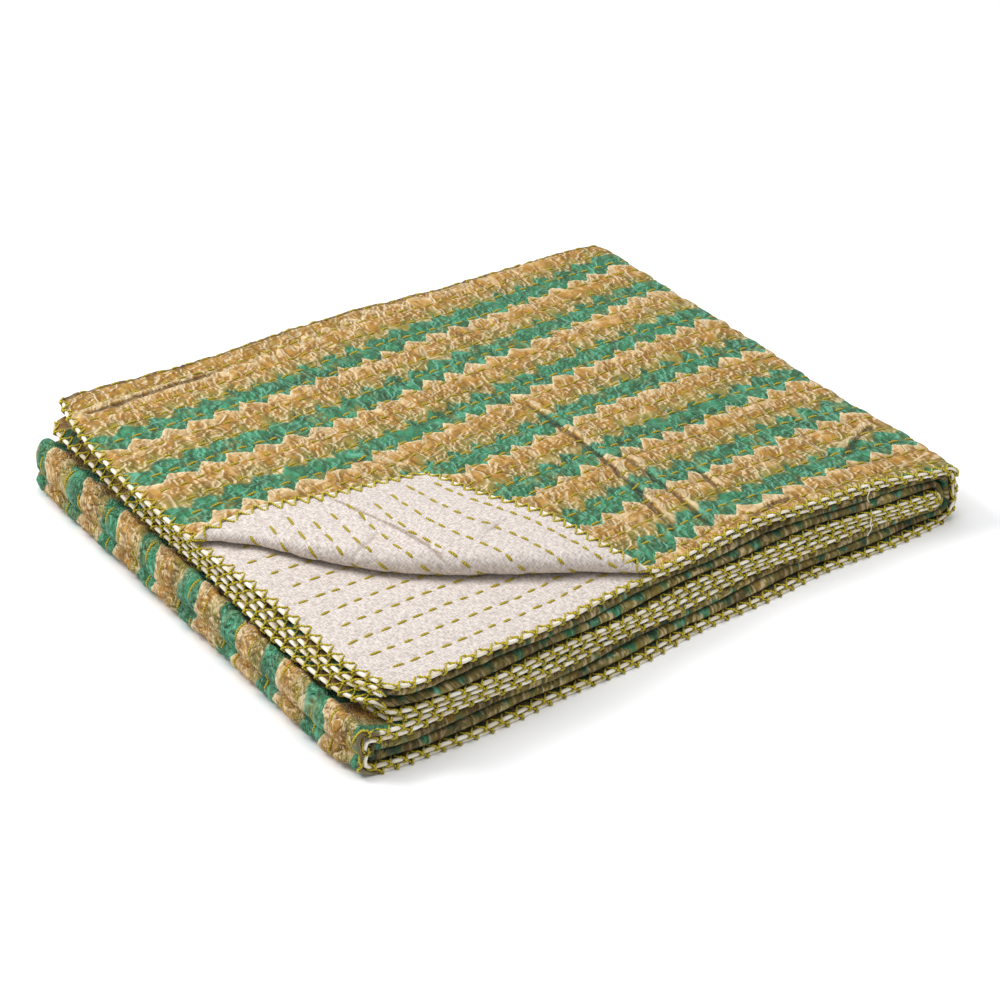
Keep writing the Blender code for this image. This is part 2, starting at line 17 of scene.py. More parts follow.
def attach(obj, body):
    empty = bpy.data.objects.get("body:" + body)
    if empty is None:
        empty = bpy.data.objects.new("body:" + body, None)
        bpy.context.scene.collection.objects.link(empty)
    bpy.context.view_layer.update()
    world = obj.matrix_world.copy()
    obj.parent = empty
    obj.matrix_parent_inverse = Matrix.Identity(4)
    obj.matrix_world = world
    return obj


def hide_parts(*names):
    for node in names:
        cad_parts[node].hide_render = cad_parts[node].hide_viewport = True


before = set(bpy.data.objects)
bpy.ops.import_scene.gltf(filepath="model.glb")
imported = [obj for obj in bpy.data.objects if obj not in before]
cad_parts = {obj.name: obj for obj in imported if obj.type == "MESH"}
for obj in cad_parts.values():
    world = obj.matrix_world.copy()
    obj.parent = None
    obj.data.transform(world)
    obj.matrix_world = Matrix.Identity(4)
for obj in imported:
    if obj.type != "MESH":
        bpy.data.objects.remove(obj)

LOG = logging.getLogger("kantha_quilt")
Array = np.ndarray
Socket = bpy.types.NodeSocket
Colour = tuple[float, float, float]
UV_NAME = "cloth"
UV_METRES = 2.0
# Vertex attribute from which the materials paint shade and highlights.
RELIEF_SHADE_NAME = "relief"


class Face(Enum):
    """The two faces of the quilted cloth, with the sign of their side of its middle."""

    PRINT = 1.0
    BACKING = -1.0


class Layer(IntEnum):
    """Sections along the sheet, from the hem on top of the stack."""

    TOP = 0
    OUTER_BEND = 1
    BOTTOM = 2
    LEFT_BEND = 3
    LOWER = 4
    INNER_BEND = 5
    UPPER = 6


class Ply(IntEnum):
    """Sections across the sheet, from the ply on top of the packet."""

    FIRST = 0
    BACK_FOLD = 1
    SECOND = 2
    FRONT_FOLD = 3
    THIRD = 4
    INNER_FOLD = 5
    FOURTH = 6


def ease(value: Array, low: float, high: float) -> Array:
    """Rise from 0 at low to 1 at high: 3 t squared less 2 t cubed.

    Args:
        value: Values to ease.
        low: Where the rise starts.
        high: Where the rise ends.

    Returns:
        The eased values, from 0 to 1.
    """
    part = np.clip((value - low) / (high - low), 0.0, 1.0)
    return part * part * (3.0 - 2.0 * part)


def lattice_noise(u: Array, v: Array, seed: int) -> Array:
    """Blend random heights of a unit lattice: each cell mixes its four corners by eased shares.

    Args:
        u: First coordinate, in lattice cells.
        v: Second coordinate, in lattice cells.
        seed: Seed of the lattice's heights.

    Returns:
        Smooth noise from -1 to 1.
    """
    size = 512
    table = np.random.default_rng(seed).uniform(-1.0, 1.0, (size, size))
    cell_u = np.floor(u).astype(int)
    cell_v = np.floor(v).astype(int)
    share_u = ease(u - cell_u, 0.0, 1.0)
    share_v = ease(v - cell_v, 0.0, 1.0)
    near = table[cell_u % size, cell_v % size] * (1.0 - share_u)
    near = near + table[(cell_u + 1) % size, cell_v % size] * share_u
    far = table[cell_u % size, (cell_v + 1) % size] * (1.0 - share_u)
    far = far + table[(cell_u + 1) % size, (cell_v + 1) % size] * share_u
    return near * (1.0 - share_v) + far * share_v


def unit(vectors: Array) -> Array:
    """Scale vectors in the last axis to length 1."""
    return vectors / np.maximum(np.linalg.norm(vectors, axis=-1, keepdims=True), 1e-12)


def wave(place: Array, run: float, phase: Array | float = 0.0) -> Array:
    """Sine of a place over a run, ahead by a phase."""
    return np.sin(2.0 * np.pi * place / run + phase)


def rings(side: Array, up: Array, wide: Array, tall: Array, angles: Array) -> Array:
    """Turn side and up vectors into rings of points round a middle.

    Args:
        side: Side vectors, one for each ring.
        up: Up vectors.
        wide: Half widths.
        tall: Half heights.
        angles: Angles of a ring's points, 0 to the side.

    Returns:
        Side times wide times the cosine, plus up times tall times the sine, for each point.
    """
    across = side[..., None, :] * (wide[..., None] * np.cos(angles))[..., None]
    return across + up[..., None, :] * (tall[..., None] * np.sin(angles))[..., None]


def linear(red: float, green: float, blue: float) -> tuple[float, float, float, float]:
    """Turn a screen colour of 0 to 255 into the linear colour of a shader.

    Args:
        red: Red from 0 to 255.
        green: Green from 0 to 255.
        blue: Blue from 0 to 255.

    Returns:
        Linear red, green, blue and an alpha of 1.
    """
    parts = []
    for level in (red, green, blue):
        share = level / 255.0
        parts.append(share / 12.92 if share <= 0.04045 else ((share + 0.055) / 1.055) ** 2.4)
    return parts[0], parts[1], parts[2], 1.0


@dataclass(frozen=True)
class AlongRun:
    """A straight layer: its x limits, its middle level, and its print side up or down."""

    start_x: float
    end_x: float
    level: float
    print_up: float


@dataclass(frozen=True)
class AlongBend:
    """An end bend of the packet of four plies, a superellipse swept between two angles."""

    centre_x: float
    side: float
    level: float
    radius: float
    print_out: float
    first_angle: float
    last_angle: float
    inner_reach: float
    reach_step: float
    roundness: float
    grooves: tuple[float, ...]
    groove_depth: float


@dataclass(frozen=True)
class AcrossRun:
    """A ply of the packet: its offset in plies, and its start and end, 0 front and 1 back."""

    offset: float
    start: float
    end: float


@dataclass(frozen=True)
class AcrossBend:
    """A lengthwise fold: the offsets that it joins, its side, and its reach in plies."""

    first_offset: float
    last_offset: float
    side: float
    reach: float


@dataclass(frozen=True)
class RoundedCorner:
    """A plan corner that is drawn in."""

    x: float
    y: float
    side_x: float
    side_y: float
    width: float
    pull: float
    lowest: float


@dataclass(frozen=True)
class HemStep:
    """A ply's left hem: its level, its shift in x at both ends, and its even and skewed bow."""

    level: float
    near: float
    far: float
    bow: float
    skew: float


@dataclass(frozen=True)
class EdgeStep:
    """A ply's front edge: its offset in the packet, and how far back it lies."""

    offset: float
    back: float


@dataclass(frozen=True)
class FrontEdge:
    """The front edges: hollow at the top of the stack, and straight on the right at its foot."""

    middle: float = 0.310
    half_run: float = 0.270
    ends: float = -0.007
    depth: float = 0.024
    foot: float = -0.012
    foot_rise: float = 0.012
    foot_run: tuple[float, float] = (0.100, 0.350)
    wave_run: float = 0.110


@dataclass(frozen=True)
class Swell:
    """Uneven plies: a swell, a slanting one, waves in the gaps, and a lift of the front hem."""

    height: float = 0.0009
    runs: tuple[float, float] = (0.310, 0.260)
    slant_height: float = 0.0004
    slant_runs: tuple[float, float] = (0.290, 0.230)
    clearance: float = 0.00040
    ply_share: float = 0.28
    ply_runs: tuple[float, float] = (0.310, 0.240)
    ply_turn: float = 2.1
    lift: float = 0.0020
    lift_middle: float = 0.305
    lift_width: float = 0.034
    lift_fade: float = 0.040
    lift_levels: tuple[float, float] = (13.0, 14.0)


@dataclass(frozen=True)
class LooseEnd:
    """The left end: how far the hems sag and the bend below them puffs up, and where."""

    sag: float = 0.0040
    sag_run: tuple[float, float] = (-0.008, 0.004)
    sag_levels: tuple[float, float] = (7.5, 11.5)
    sag_ease: float = 0.8
    puff: float = 0.0080
    puff_run: tuple[float, float] = (-0.013, -0.003)
    puff_levels: tuple[float, float] = (4.0, 7.5)


@dataclass(frozen=True)
class CornerTurn:
    """The turned corner: its bowed fold line, its roll, and the flap that settles past it."""

    start: tuple[float, float] = (0.0183, 0.1608)
    end: tuple[float, float] = (0.2262, -0.0003)
    bow: float = 0.0188
    bow_skew: float = 0.76
    bow_power: float = 1.6
    radius: float = 0.0032
    radius_more: float = 0.0037
    radius_power: float = 2.6
    settle_run: float = 0.105
    settle_height: float = 0.0060
    crown: float = 0.0025
    flap_stretch: float = 1.046
    flap_skew: float = 0.096


@dataclass
class QuiltFolding:
    """Folds the flat sheet into the stack. All sizes are in metres, levels count plies."""

    stack_length: float = 0.460
    depth_left: float = 0.368
    depth_right: float = 0.380
    thickness: float = 0.0016
    pitch_left: float = 0.00375
    pitch_right: float = 0.00260
    pitch_run: tuple[float, float] = (-0.1, 1.1)
    bottom_level: float = 0.5
    top_level: float = 15.5
    packet_half: float = 1.5
    centre_x: float = 0.220338
    centre_y: float = 0.185262
    step: float = 0.0002
    along: tuple[AlongRun | AlongBend, ...] = (
        AlongRun(0.004, 0.4435, 14.0, 1.0),
        AlongBend(0.4435, 1.0, 8.0, 6.0, 1.0, 90.0, -90.0, 0.0090, 0.0030, 3.6, (12.0, 4.0), 0.0020),
        AlongRun(0.4435, -0.004, 2.0, -1.0),
        AlongBend(-0.004, -1.0, 4.0, 2.0, 1.0, -90.0, 90.0, 0.0028, 0.0043, 2.6, (4.0,), 0.0048),
        AlongRun(-0.004, 0.4405, 6.0, 1.0),
        AlongBend(0.4405, 1.0, 8.0, 2.0, -1.0, -90.0, 90.0, 0.0013, 0.0025, 2.2, (), 0.0),
        AlongRun(0.4405, 0.004, 10.0, -1.0),
    )
    across: tuple[AcrossRun | AcrossBend, ...] = (
        AcrossRun(1.5, 0.0, 1.0),
        AcrossBend(1.5, -1.5, 1.0, 1.65),
        AcrossRun(-1.5, 1.0, 0.0),
        AcrossBend(-1.5, -0.5, -1.0, 0.6),
        AcrossRun(-0.5, 0.0, 1.0),
        AcrossBend(-0.5, 0.5, 1.0, 0.5),
        AcrossRun(0.5, 1.0, 0.0),
    )
    corners: tuple[RoundedCorner, ...] = (
        RoundedCorner(0.460, 0.380, 1.0, 1.0, 0.032, 0.0080, 0.0),
        RoundedCorner(0.0, 0.0, -1.0, -1.0, 0.022, 0.0060, 0.0),
        RoundedCorner(0.0, 0.0, -1.0, -1.0, 0.034, 0.0120, 8.0),
        RoundedCorner(0.460, 0.0, 1.0, -1.0, 0.020, 0.0060, 0.0),
        RoundedCorner(0.0, 0.368, -1.0, 1.0, 0.020, 0.0070, 0.0),
    )
    hem_steps: tuple[HemStep, ...] = (
        HemStep(8.5, -0.0010, -0.0010, 0.0, 0.0),
        HemStep(9.5, -0.0010, -0.0010, 0.0, 0.0),
        HemStep(10.5, -0.0020, -0.0010, 0.0, 0.0),
        HemStep(11.5, -0.0107, -0.0126, 0.0009, 0.0017),
        HemStep(12.5, -0.0056, 0.0020, 0.0096, 0.0),
        HemStep(13.5, -0.0049, 0.0040, 0.0106, -0.0005),
        HemStep(14.5, -0.0012, -0.0016, 0.0105, -0.0010),
        HemStep(15.5, 0.0, -0.0016, 0.0133, -0.0061),
    )
    edge_steps: tuple[EdgeStep, ...] = (
        EdgeStep(-1.5, 0.0034),
        EdgeStep(-0.5, 0.0034),
        EdgeStep(0.5, -0.0004),
        EdgeStep(1.5, 0.0),
    )
    groove_width: float = 1.1
    arc_points: int = 721
    level_blend: float = 0.4
    hem_level: float = 8.0
    edge_wave: float = 0.0012
    side_run: float = 0.170
    wave_turn: float = 0.7
    lobe_lean: float = -0.004
    left_fade: float = 0.050
    right_fade: float = 0.040
    front_edge: FrontEdge = FrontEdge()
    swell: Swell = Swell()
    loose: LooseEnd = LooseEnd()
    corner: CornerTurn = CornerTurn()
    along_ends: Array = field(init=False)
    across_ends: Array = field(init=False)

    def __post_init__(self) -> None:
        """Work out where each section of the flat sheet starts and ends."""
        lengths = []
        for part in self.along:
            straight = isinstance(part, AlongRun)
            lengths.append(abs(part.end_x - part.start_x) if straight else self.bend_arc(part)[2])
        self.along_ends = np.concatenate(([0.0], np.cumsum(lengths)))
        depth = 0.5 * (self.depth_left + self.depth_right)
        pitch = 0.5 * (self.pitch_left + self.pitch_right)
        lengths = []
        for part in self.across:
            if isinstance(part, AcrossRun):
                lengths.append(depth)
            else:
                half = 0.5 * abs(part.last_offset - part.first_offset)
                lengths.append(math.pi * 0.5 * (half + part.reach) * pitch)
        self.across_ends = np.concatenate(([0.0], np.cumsum(lengths)))

    @property
    def length(self) -> float:
        """Length of the flat sheet."""
        return float(self.along_ends[-1])

    @property
    def width(self) -> float:
        """Width of the flat sheet."""
        return float(self.across_ends[-1])

    def pitch(self, x: Array) -> Array:
        """Ply pitch at a plan position: it falls evenly from left to right."""
        part = np.clip(x / self.stack_length, *self.pitch_run)
        return self.pitch_left + (self.pitch_right - self.pitch_left) * part

    def bend_place(self, bend: AlongBend, angle: Array, offset: Array) -> tuple[Array, Array]:
        """Place a bend's ply: a superellipse whose reach shrinks by a bell at each groove.

        Args:
            bend: The bend.
            angle: Angle in radians, 0 outwards.
            offset: Offset of the ply from the packet's middle.

        Returns:
            Plan x and level.
        """
        nest = bend.print_out * offset + self.packet_half
        power = 2.0 / bend.roundness
        rise = np.sign(np.sin(angle)) * np.abs(np.sin(angle)) ** power
        level = bend.level + (bend.radius + bend.print_out * offset) * rise
        reach = bend.inner_reach + bend.reach_step * nest
        for groove in bend.grooves:
            bell = np.exp(-(((level - groove) / self.groove_width) ** 2))
            reach = reach - bend.groove_depth * nest / (2.0 * self.packet_half) * bell
        return bend.centre_x + bend.side * reach * np.abs(np.cos(angle)) ** power, level

    def bend_arc(self, bend: AlongBend) -> tuple[Array, Array, float]:
        """Measure a bend along its packet's middle: summed chords of its curve.

        Args:
            bend: The bend.

        Returns:
            Angles, the share of the length reached at each, and the length.
        """
        angles = np.radians(np.linspace(bend.first_angle, bend.last_angle, self.arc_points))
        x, level = self.bend_place(bend, angles, np.zeros(self.arc_points))
        height = level * self.pitch(np.array(bend.centre_x))
        reached = np.concatenate(([0.0], np.cumsum(np.hypot(np.diff(x), np.diff(height)))))
        return angles, reached / reached[-1], float(reached[-1])

    def section(self, value: Array, ends: Array) -> tuple[Array, Array]:
        """Find the section each value lies in and its share of that section's length.

        Args:
            value: Distances along or across the sheet.
            ends: Where the sections start and end.

        Returns:
            The section's number, and the share of its length.
        """
        index = np.clip(np.searchsorted(ends, value, side="right") - 1, 0, len(ends) - 2)
        return index, (value - ends[index]) / (ends[index + 1] - ends[index])

    def place_across(self, across: Array) -> tuple[Array, Array, Array]:
        """Place points across: runs keep their offset, folds swing by cosine and reach by sine.

        Args:
            across: Distance from the sheet's first long edge.

        Returns:
            Offset in plies, share of the depth, and reach past the edge in plies.
        """
        index, share = self.section(across, self.across_ends)
        offset = np.zeros_like(across)
        depth = np.zeros_like(across)
        reach = np.zeros_like(across)
        for number, part in enumerate(self.across):
            here = index == number
            if isinstance(part, AcrossRun):
                offset[here] = part.offset
                depth[here] = part.start + (part.end - part.start) * share[here]
            else:
                turn = math.pi * share[here]
                middle = 0.5 * (part.first_offset + part.last_offset)
                offset[here] = middle + 0.5 * (part.first_offset - part.last_offset) * np.cos(turn)
                depth[here] = 0.5 * (1.0 + part.side)
                reach[here] = part.side * part.reach * np.sin(turn)
        return offset, depth, reach

    def place_along(self, along: Array, offset: Array) -> tuple[Array, Array]:
        """Place points along: runs move evenly in x, bends follow their superellipse.

        Args:
            along: Distance from the sheet's first short edge.
            offset: Offset of each point's ply.

        Returns:
            Plan x and level.
        """
        index, share = self.section(along, self.along_ends)
        x = np.zeros_like(along)
        level = np.zeros_like(along)
        for number, part in enumerate(self.along):
            here = index == number
            if isinstance(part, AlongRun):
                x[here] = part.start_x + (part.end_x - part.start_x) * share[here]
                level[here] = part.level + part.print_up * offset[here]
            else:
                angles, reached, _ = self.bend_arc(part)
                angle = np.interp(share[here], reached, angles)
                x[here], level[here] = self.bend_place(part, angle, offset[here])
        return x, level

    def front(self, x: Array, level: Array) -> Array:
        """Place the front edge: a cosine hollow at the top, blending to a straight foot, with a wave.

        Args:
            x: Plan x.
            level: Level in plies.

        Returns:
            The edge's y.
        """
        edge = self.front_edge
        part = np.clip((x - edge.middle) / edge.half_run, -1.0, 1.0)
        top = edge.ends + edge.depth * np.cos(0.5 * np.pi * part) ** 2
        foot = edge.foot + edge.foot_rise * ease(x, *edge.foot_run)
        share = (level - self.bottom_level) / (self.top_level - self.bottom_level)
        return foot + (top - foot) * share + self.edge_wave * wave(x, edge.wave_run, self.wave_turn * level)

    def back(self, x: Array) -> Array:
        """Back edge's y: further back on the right, with a soft sine wave."""
        depth = self.depth_left + (self.depth_right - self.depth_left) * x / self.stack_length
        return depth + self.edge_wave * wave(x, self.side_run)

    def above(self, level: Array, lowest: float) -> Array:
        """Return 1 above a level and 0 below it."""
        return ease(level, lowest - self.level_blend, lowest + self.level_blend)

    def side_shift(self, x: Array, y: Array, level: Array) -> Array:
        """Shift hems and bends in x: steps, bows and waves that fade away from each end.

        Args:
            x: Plan x.
            y: Plan y.
            level: Level in plies.

        Returns:
            The shift in x.
        """
        upper = self.above(level, self.hem_level)
        share = np.clip(y / self.depth_left, 0.0, 1.0)
        levels = [step.level for step in self.hem_steps]
        near, far, bow, skew = [
            np.interp(level, levels, [getattr(step, size) for step in self.hem_steps])
            for size in ("near", "far", "bow", "skew")
        ]
        hems = near + (far - near) * share
        hems = hems - bow * np.sin(np.pi * share) - skew * np.sin(2.0 * np.pi * share)
        hems = hems + self.edge_wave * wave(y, self.side_run, self.wave_turn * level)
        lobes = self.lobe_lean * ease(y, 0.0, self.depth_left)
        near_left = np.exp(-np.clip(x, 0.0, None) / self.left_fade)
        near_right = np.exp(-np.clip(self.stack_length - x, 0.0, None) / self.right_fade)
        right = self.edge_wave * wave(y, self.side_run)
        return near_left * (upper * hems + (1.0 - upper) * lobes) + near_right * right

    def pull_corners(self, x: Array, y: Array, level: Array) -> tuple[Array, Array]:
        """Draw the plan corners in by the product of two eased closenesses.

        Args:
            x: Plan x.
            y: Plan y.
            level: Level in plies.

        Returns:
            The new plan x and y.
        """
        shift_x = np.zeros_like(x)
        shift_y = np.zeros_like(y)
        for corner in self.corners:
            near = ease(corner.side_x * (x - corner.x), -corner.width, corner.width)
            near = near * ease(corner.side_y * (y - corner.y), -corner.width, corner.width)
            pull = corner.pull * near * self.above(level, corner.lowest)
            shift_x -= corner.side_x * pull
            shift_y -= corner.side_y * pull
        return x + shift_x, y + shift_y

    def height(self, x: Array, y: Array, level: Array) -> Array:
        """Height of a ply's middle: level times pitch, plus sine swells, ply waves and a lift.

        Args:
            x: Plan x.
            y: Plan y.
            level: Level in plies.

        Returns:
            Height in metres.
        """
        pitch = self.pitch(x)
        size = self.swell
        share = np.clip((level - self.bottom_level) / (self.top_level - self.bottom_level), 0.0, 1.0)
        turn_x = 2.0 * np.pi * x
        turn_y = 2.0 * np.pi * y
        swell = size.height * np.sin(turn_x / size.runs[0]) * np.cos(turn_y / size.runs[1])
        swell = swell + size.slant_height * np.sin(turn_x / size.slant_runs[0] - turn_y / size.slant_runs[1])
        room = pitch - self.thickness - size.clearance
        free = ease(level, self.bottom_level, self.bottom_level + self.packet_half)
        turn = turn_x / size.ply_runs[0] + turn_y / size.ply_runs[1] + size.ply_turn * level
        lift = size.lift * np.exp(-(((x - size.lift_middle) / size.lift_width) ** 2))
        lift = lift * np.exp(-np.clip(y - self.front(x, level), 0.0, None) / size.lift_fade)
        lift = lift * ease(level, *size.lift_levels)
        base = 0.5 * self.thickness + (level - self.bottom_level) * pitch
        waves = size.ply_share * room * np.sin(turn) * free
        return base + swell * share + waves + lift + self.loose_end(x, level)

    def loose_end(self, x: Array, level: Array) -> Array:
        """Shape the left end: the hems above the tucked ones sag, the bend below puffs up.

        Args:
            x: Plan x.
            level: Level in plies.

        Returns:
            The rise in metres.
        """
        end = self.loose
        above = ease(level, *end.sag_levels)
        eased = 1.0 - end.sag_ease * ease(level, end.sag_levels[1], self.top_level)
        raised = ease(level, *end.puff_levels) * (1.0 - above)
        puff = end.puff * (1.0 - ease(x, *end.puff_run)) * raised
        return puff - end.sag * (1.0 - ease(x, *end.sag_run)) * above * eased

    def fold_frame(self) -> tuple[Array, Array, Array, float]:
        """Return the fold's start, unit vector along it, unit normal and length."""
        start, end = np.array(self.corner.start), np.array(self.corner.end)
        length = float(np.linalg.norm(end - start))
        tangent = (end - start) / length
        return start, tangent, np.array([-tangent[1], tangent[0]]), length

    def past_fold(self, x: Array, y: Array) -> tuple[Array, Array, Array]:
        """Measure points from the turned corner's bowed fold line.

        Args:
            x: Plan x before turning.
            y: Plan y before turning.

        Returns:
            Distance past the fold, distance along it, and the bow there.
        """
        start, tangent, normal, length = self.fold_frame()
        lateral = (x - start[0]) * tangent[0] + (y - start[1]) * tangent[1]
        ahead = -((x - start[0]) * normal[0] + (y - start[1]) * normal[1])
        share = np.clip(lateral / length, 0.0, 1.0)
        corner = self.corner
        bow = corner.bow * np.sin(np.pi * share**corner.bow_skew) ** corner.bow_power
        return ahead - bow, lateral, bow

    def turn_corner(self, x: Array, y: Array, z: Array) -> tuple[Array, Array, Array]:
        """Turn the near corner back: a half-circle roll, then a flap that settles with a crown.

        Args:
            x: Plan x before turning.
            y: Plan y before turning.
            z: Height before turning.

        Returns:
            The new x, y and z.
        """
        corner = self.corner
        start, tangent, normal, length = self.fold_frame()
        past, lateral, bow = self.past_fold(x, y)
        share = np.clip(lateral / length, 0.0, 1.0)
        radius = corner.radius + corner.radius_more * (1.0 - np.abs(2.0 * share - 1.0) ** corner.radius_power)
        rolled = np.clip(past / radius, 0.0, np.pi)
        beyond = np.clip(past - np.pi * radius, 0.0, None)
        settle = ease(beyond, 0.0, corner.settle_run)
        reach = bow + radius * np.sin(rolled) - corner.flap_stretch * beyond
        rise = radius * (1.0 - np.cos(rolled)) + (corner.settle_height - 2.0 * radius) * settle
        rise = rise + corner.crown * np.sin(np.pi * settle)
        lateral = lateral + corner.flap_skew * beyond
        turned_x = start[0] + lateral * tangent[0] - reach * normal[0]
        turned_y = start[1] + lateral * tangent[1] - reach * normal[1]
        turned_z = self.height(turned_x, turned_y, np.full_like(x, self.top_level)) + rise
        turned = past > 0.0
        return np.where(turned, turned_x, x), np.where(turned, turned_y, y), np.where(turned, turned_z, z)

    def plan(self, along: Array, across: Array) -> tuple[Array, Array, Array]:
        """Place the sheet in the stack before its corner is turned.

        Args:
            along: Distance from the first short edge.
            across: Distance from the first long edge.

        Returns:
            Plan x, plan y and level.
        """
        offset, depth, reach = self.place_across(across)
        x, level = self.place_along(along, offset)
        steps = self.edge_steps
        back = np.interp(offset, [step.offset for step in steps], [step.back for step in steps])
        front = self.front(x, level) + back
        y = front + (self.back(x) - front) * depth + reach * self.pitch(x)
        x = x + self.side_shift(x, y, level)
        x, y = self.pull_corners(x, y, level)
        return x, y, level

    def in_top_ply(self, along: Array, across: Array) -> Array:
        """Tell which points lie in the top layer's first ply, whose corner is turned."""
        return (along < self.along_ends[1]) & (across < self.across_ends[1])

    def middle(self, along: Array, across: Array) -> Array:
        """Place the middle of the cloth in the part's frame.

        Args:
            along: Distance from the first short edge.
            across: Distance from the first long edge.

        Returns:
            Points as an array whose last axis is x, y, z.
        """
        x, y, level = self.plan(along, across)
        z = self.height(x, y, level)
        turned = self.turn_corner(x, y, z)
        top = self.in_top_ply(along, across)
        placed = [np.where(top, new, old) for new, old in zip(turned, (x, y, z))]
        return np.stack((placed[0] - self.centre_x, placed[1] - self.centre_y, placed[2]), axis=-1)

    def edge_distance(self, along: Array, across: Array) -> Array:
        """Distance to the sheet's nearest edge: the least of the four."""
        return np.minimum.reduce([along, self.length - along, across, self.width - across])

    def normals(self, along: Array, across: Array) -> Array:
        """Print side normals: the cross product of small steps along and across.

        Args:
            along: Distance from the first short edge.
            across: Distance from the first long edge.

        Returns:
            Unit vectors.
        """
        first = self.middle(along + self.step, across) - self.middle(along - self.step, across)
        second = self.middle(along, across + self.step) - self.middle(along, across - self.step)
        return unit(np.cross(first, second))


@dataclass(frozen=True)
class Crease:
    """A pressed crease on the top ply, from one plan point to another, as a trough by a ridge."""

    start: tuple[float, float]
    end: tuple[float, float]
    bend: float
    width: float
    depth: float


@dataclass(frozen=True)
class Lumps:
    """Lattice noise on the flat sheet: its lump sizes in metres, its height and its seed."""

    along: float
    across: float
    height: float
    seed: int

    def at(self, along: Array, across: Array) -> Array:
        """Noise of the place counted in lumps, times the height."""
        return self.height * lattice_noise(along / self.along, across / self.across, self.seed)

    def ridged(self, along: Array, across: Array, drop: float) -> Array:
        """Ridges where the noise is nothing: 1 less the drop times its size, times the height."""
        noise = lattice_noise(along / self.along, across / self.across, self.seed)
        return self.height * (1.0 - drop * np.abs(noise))


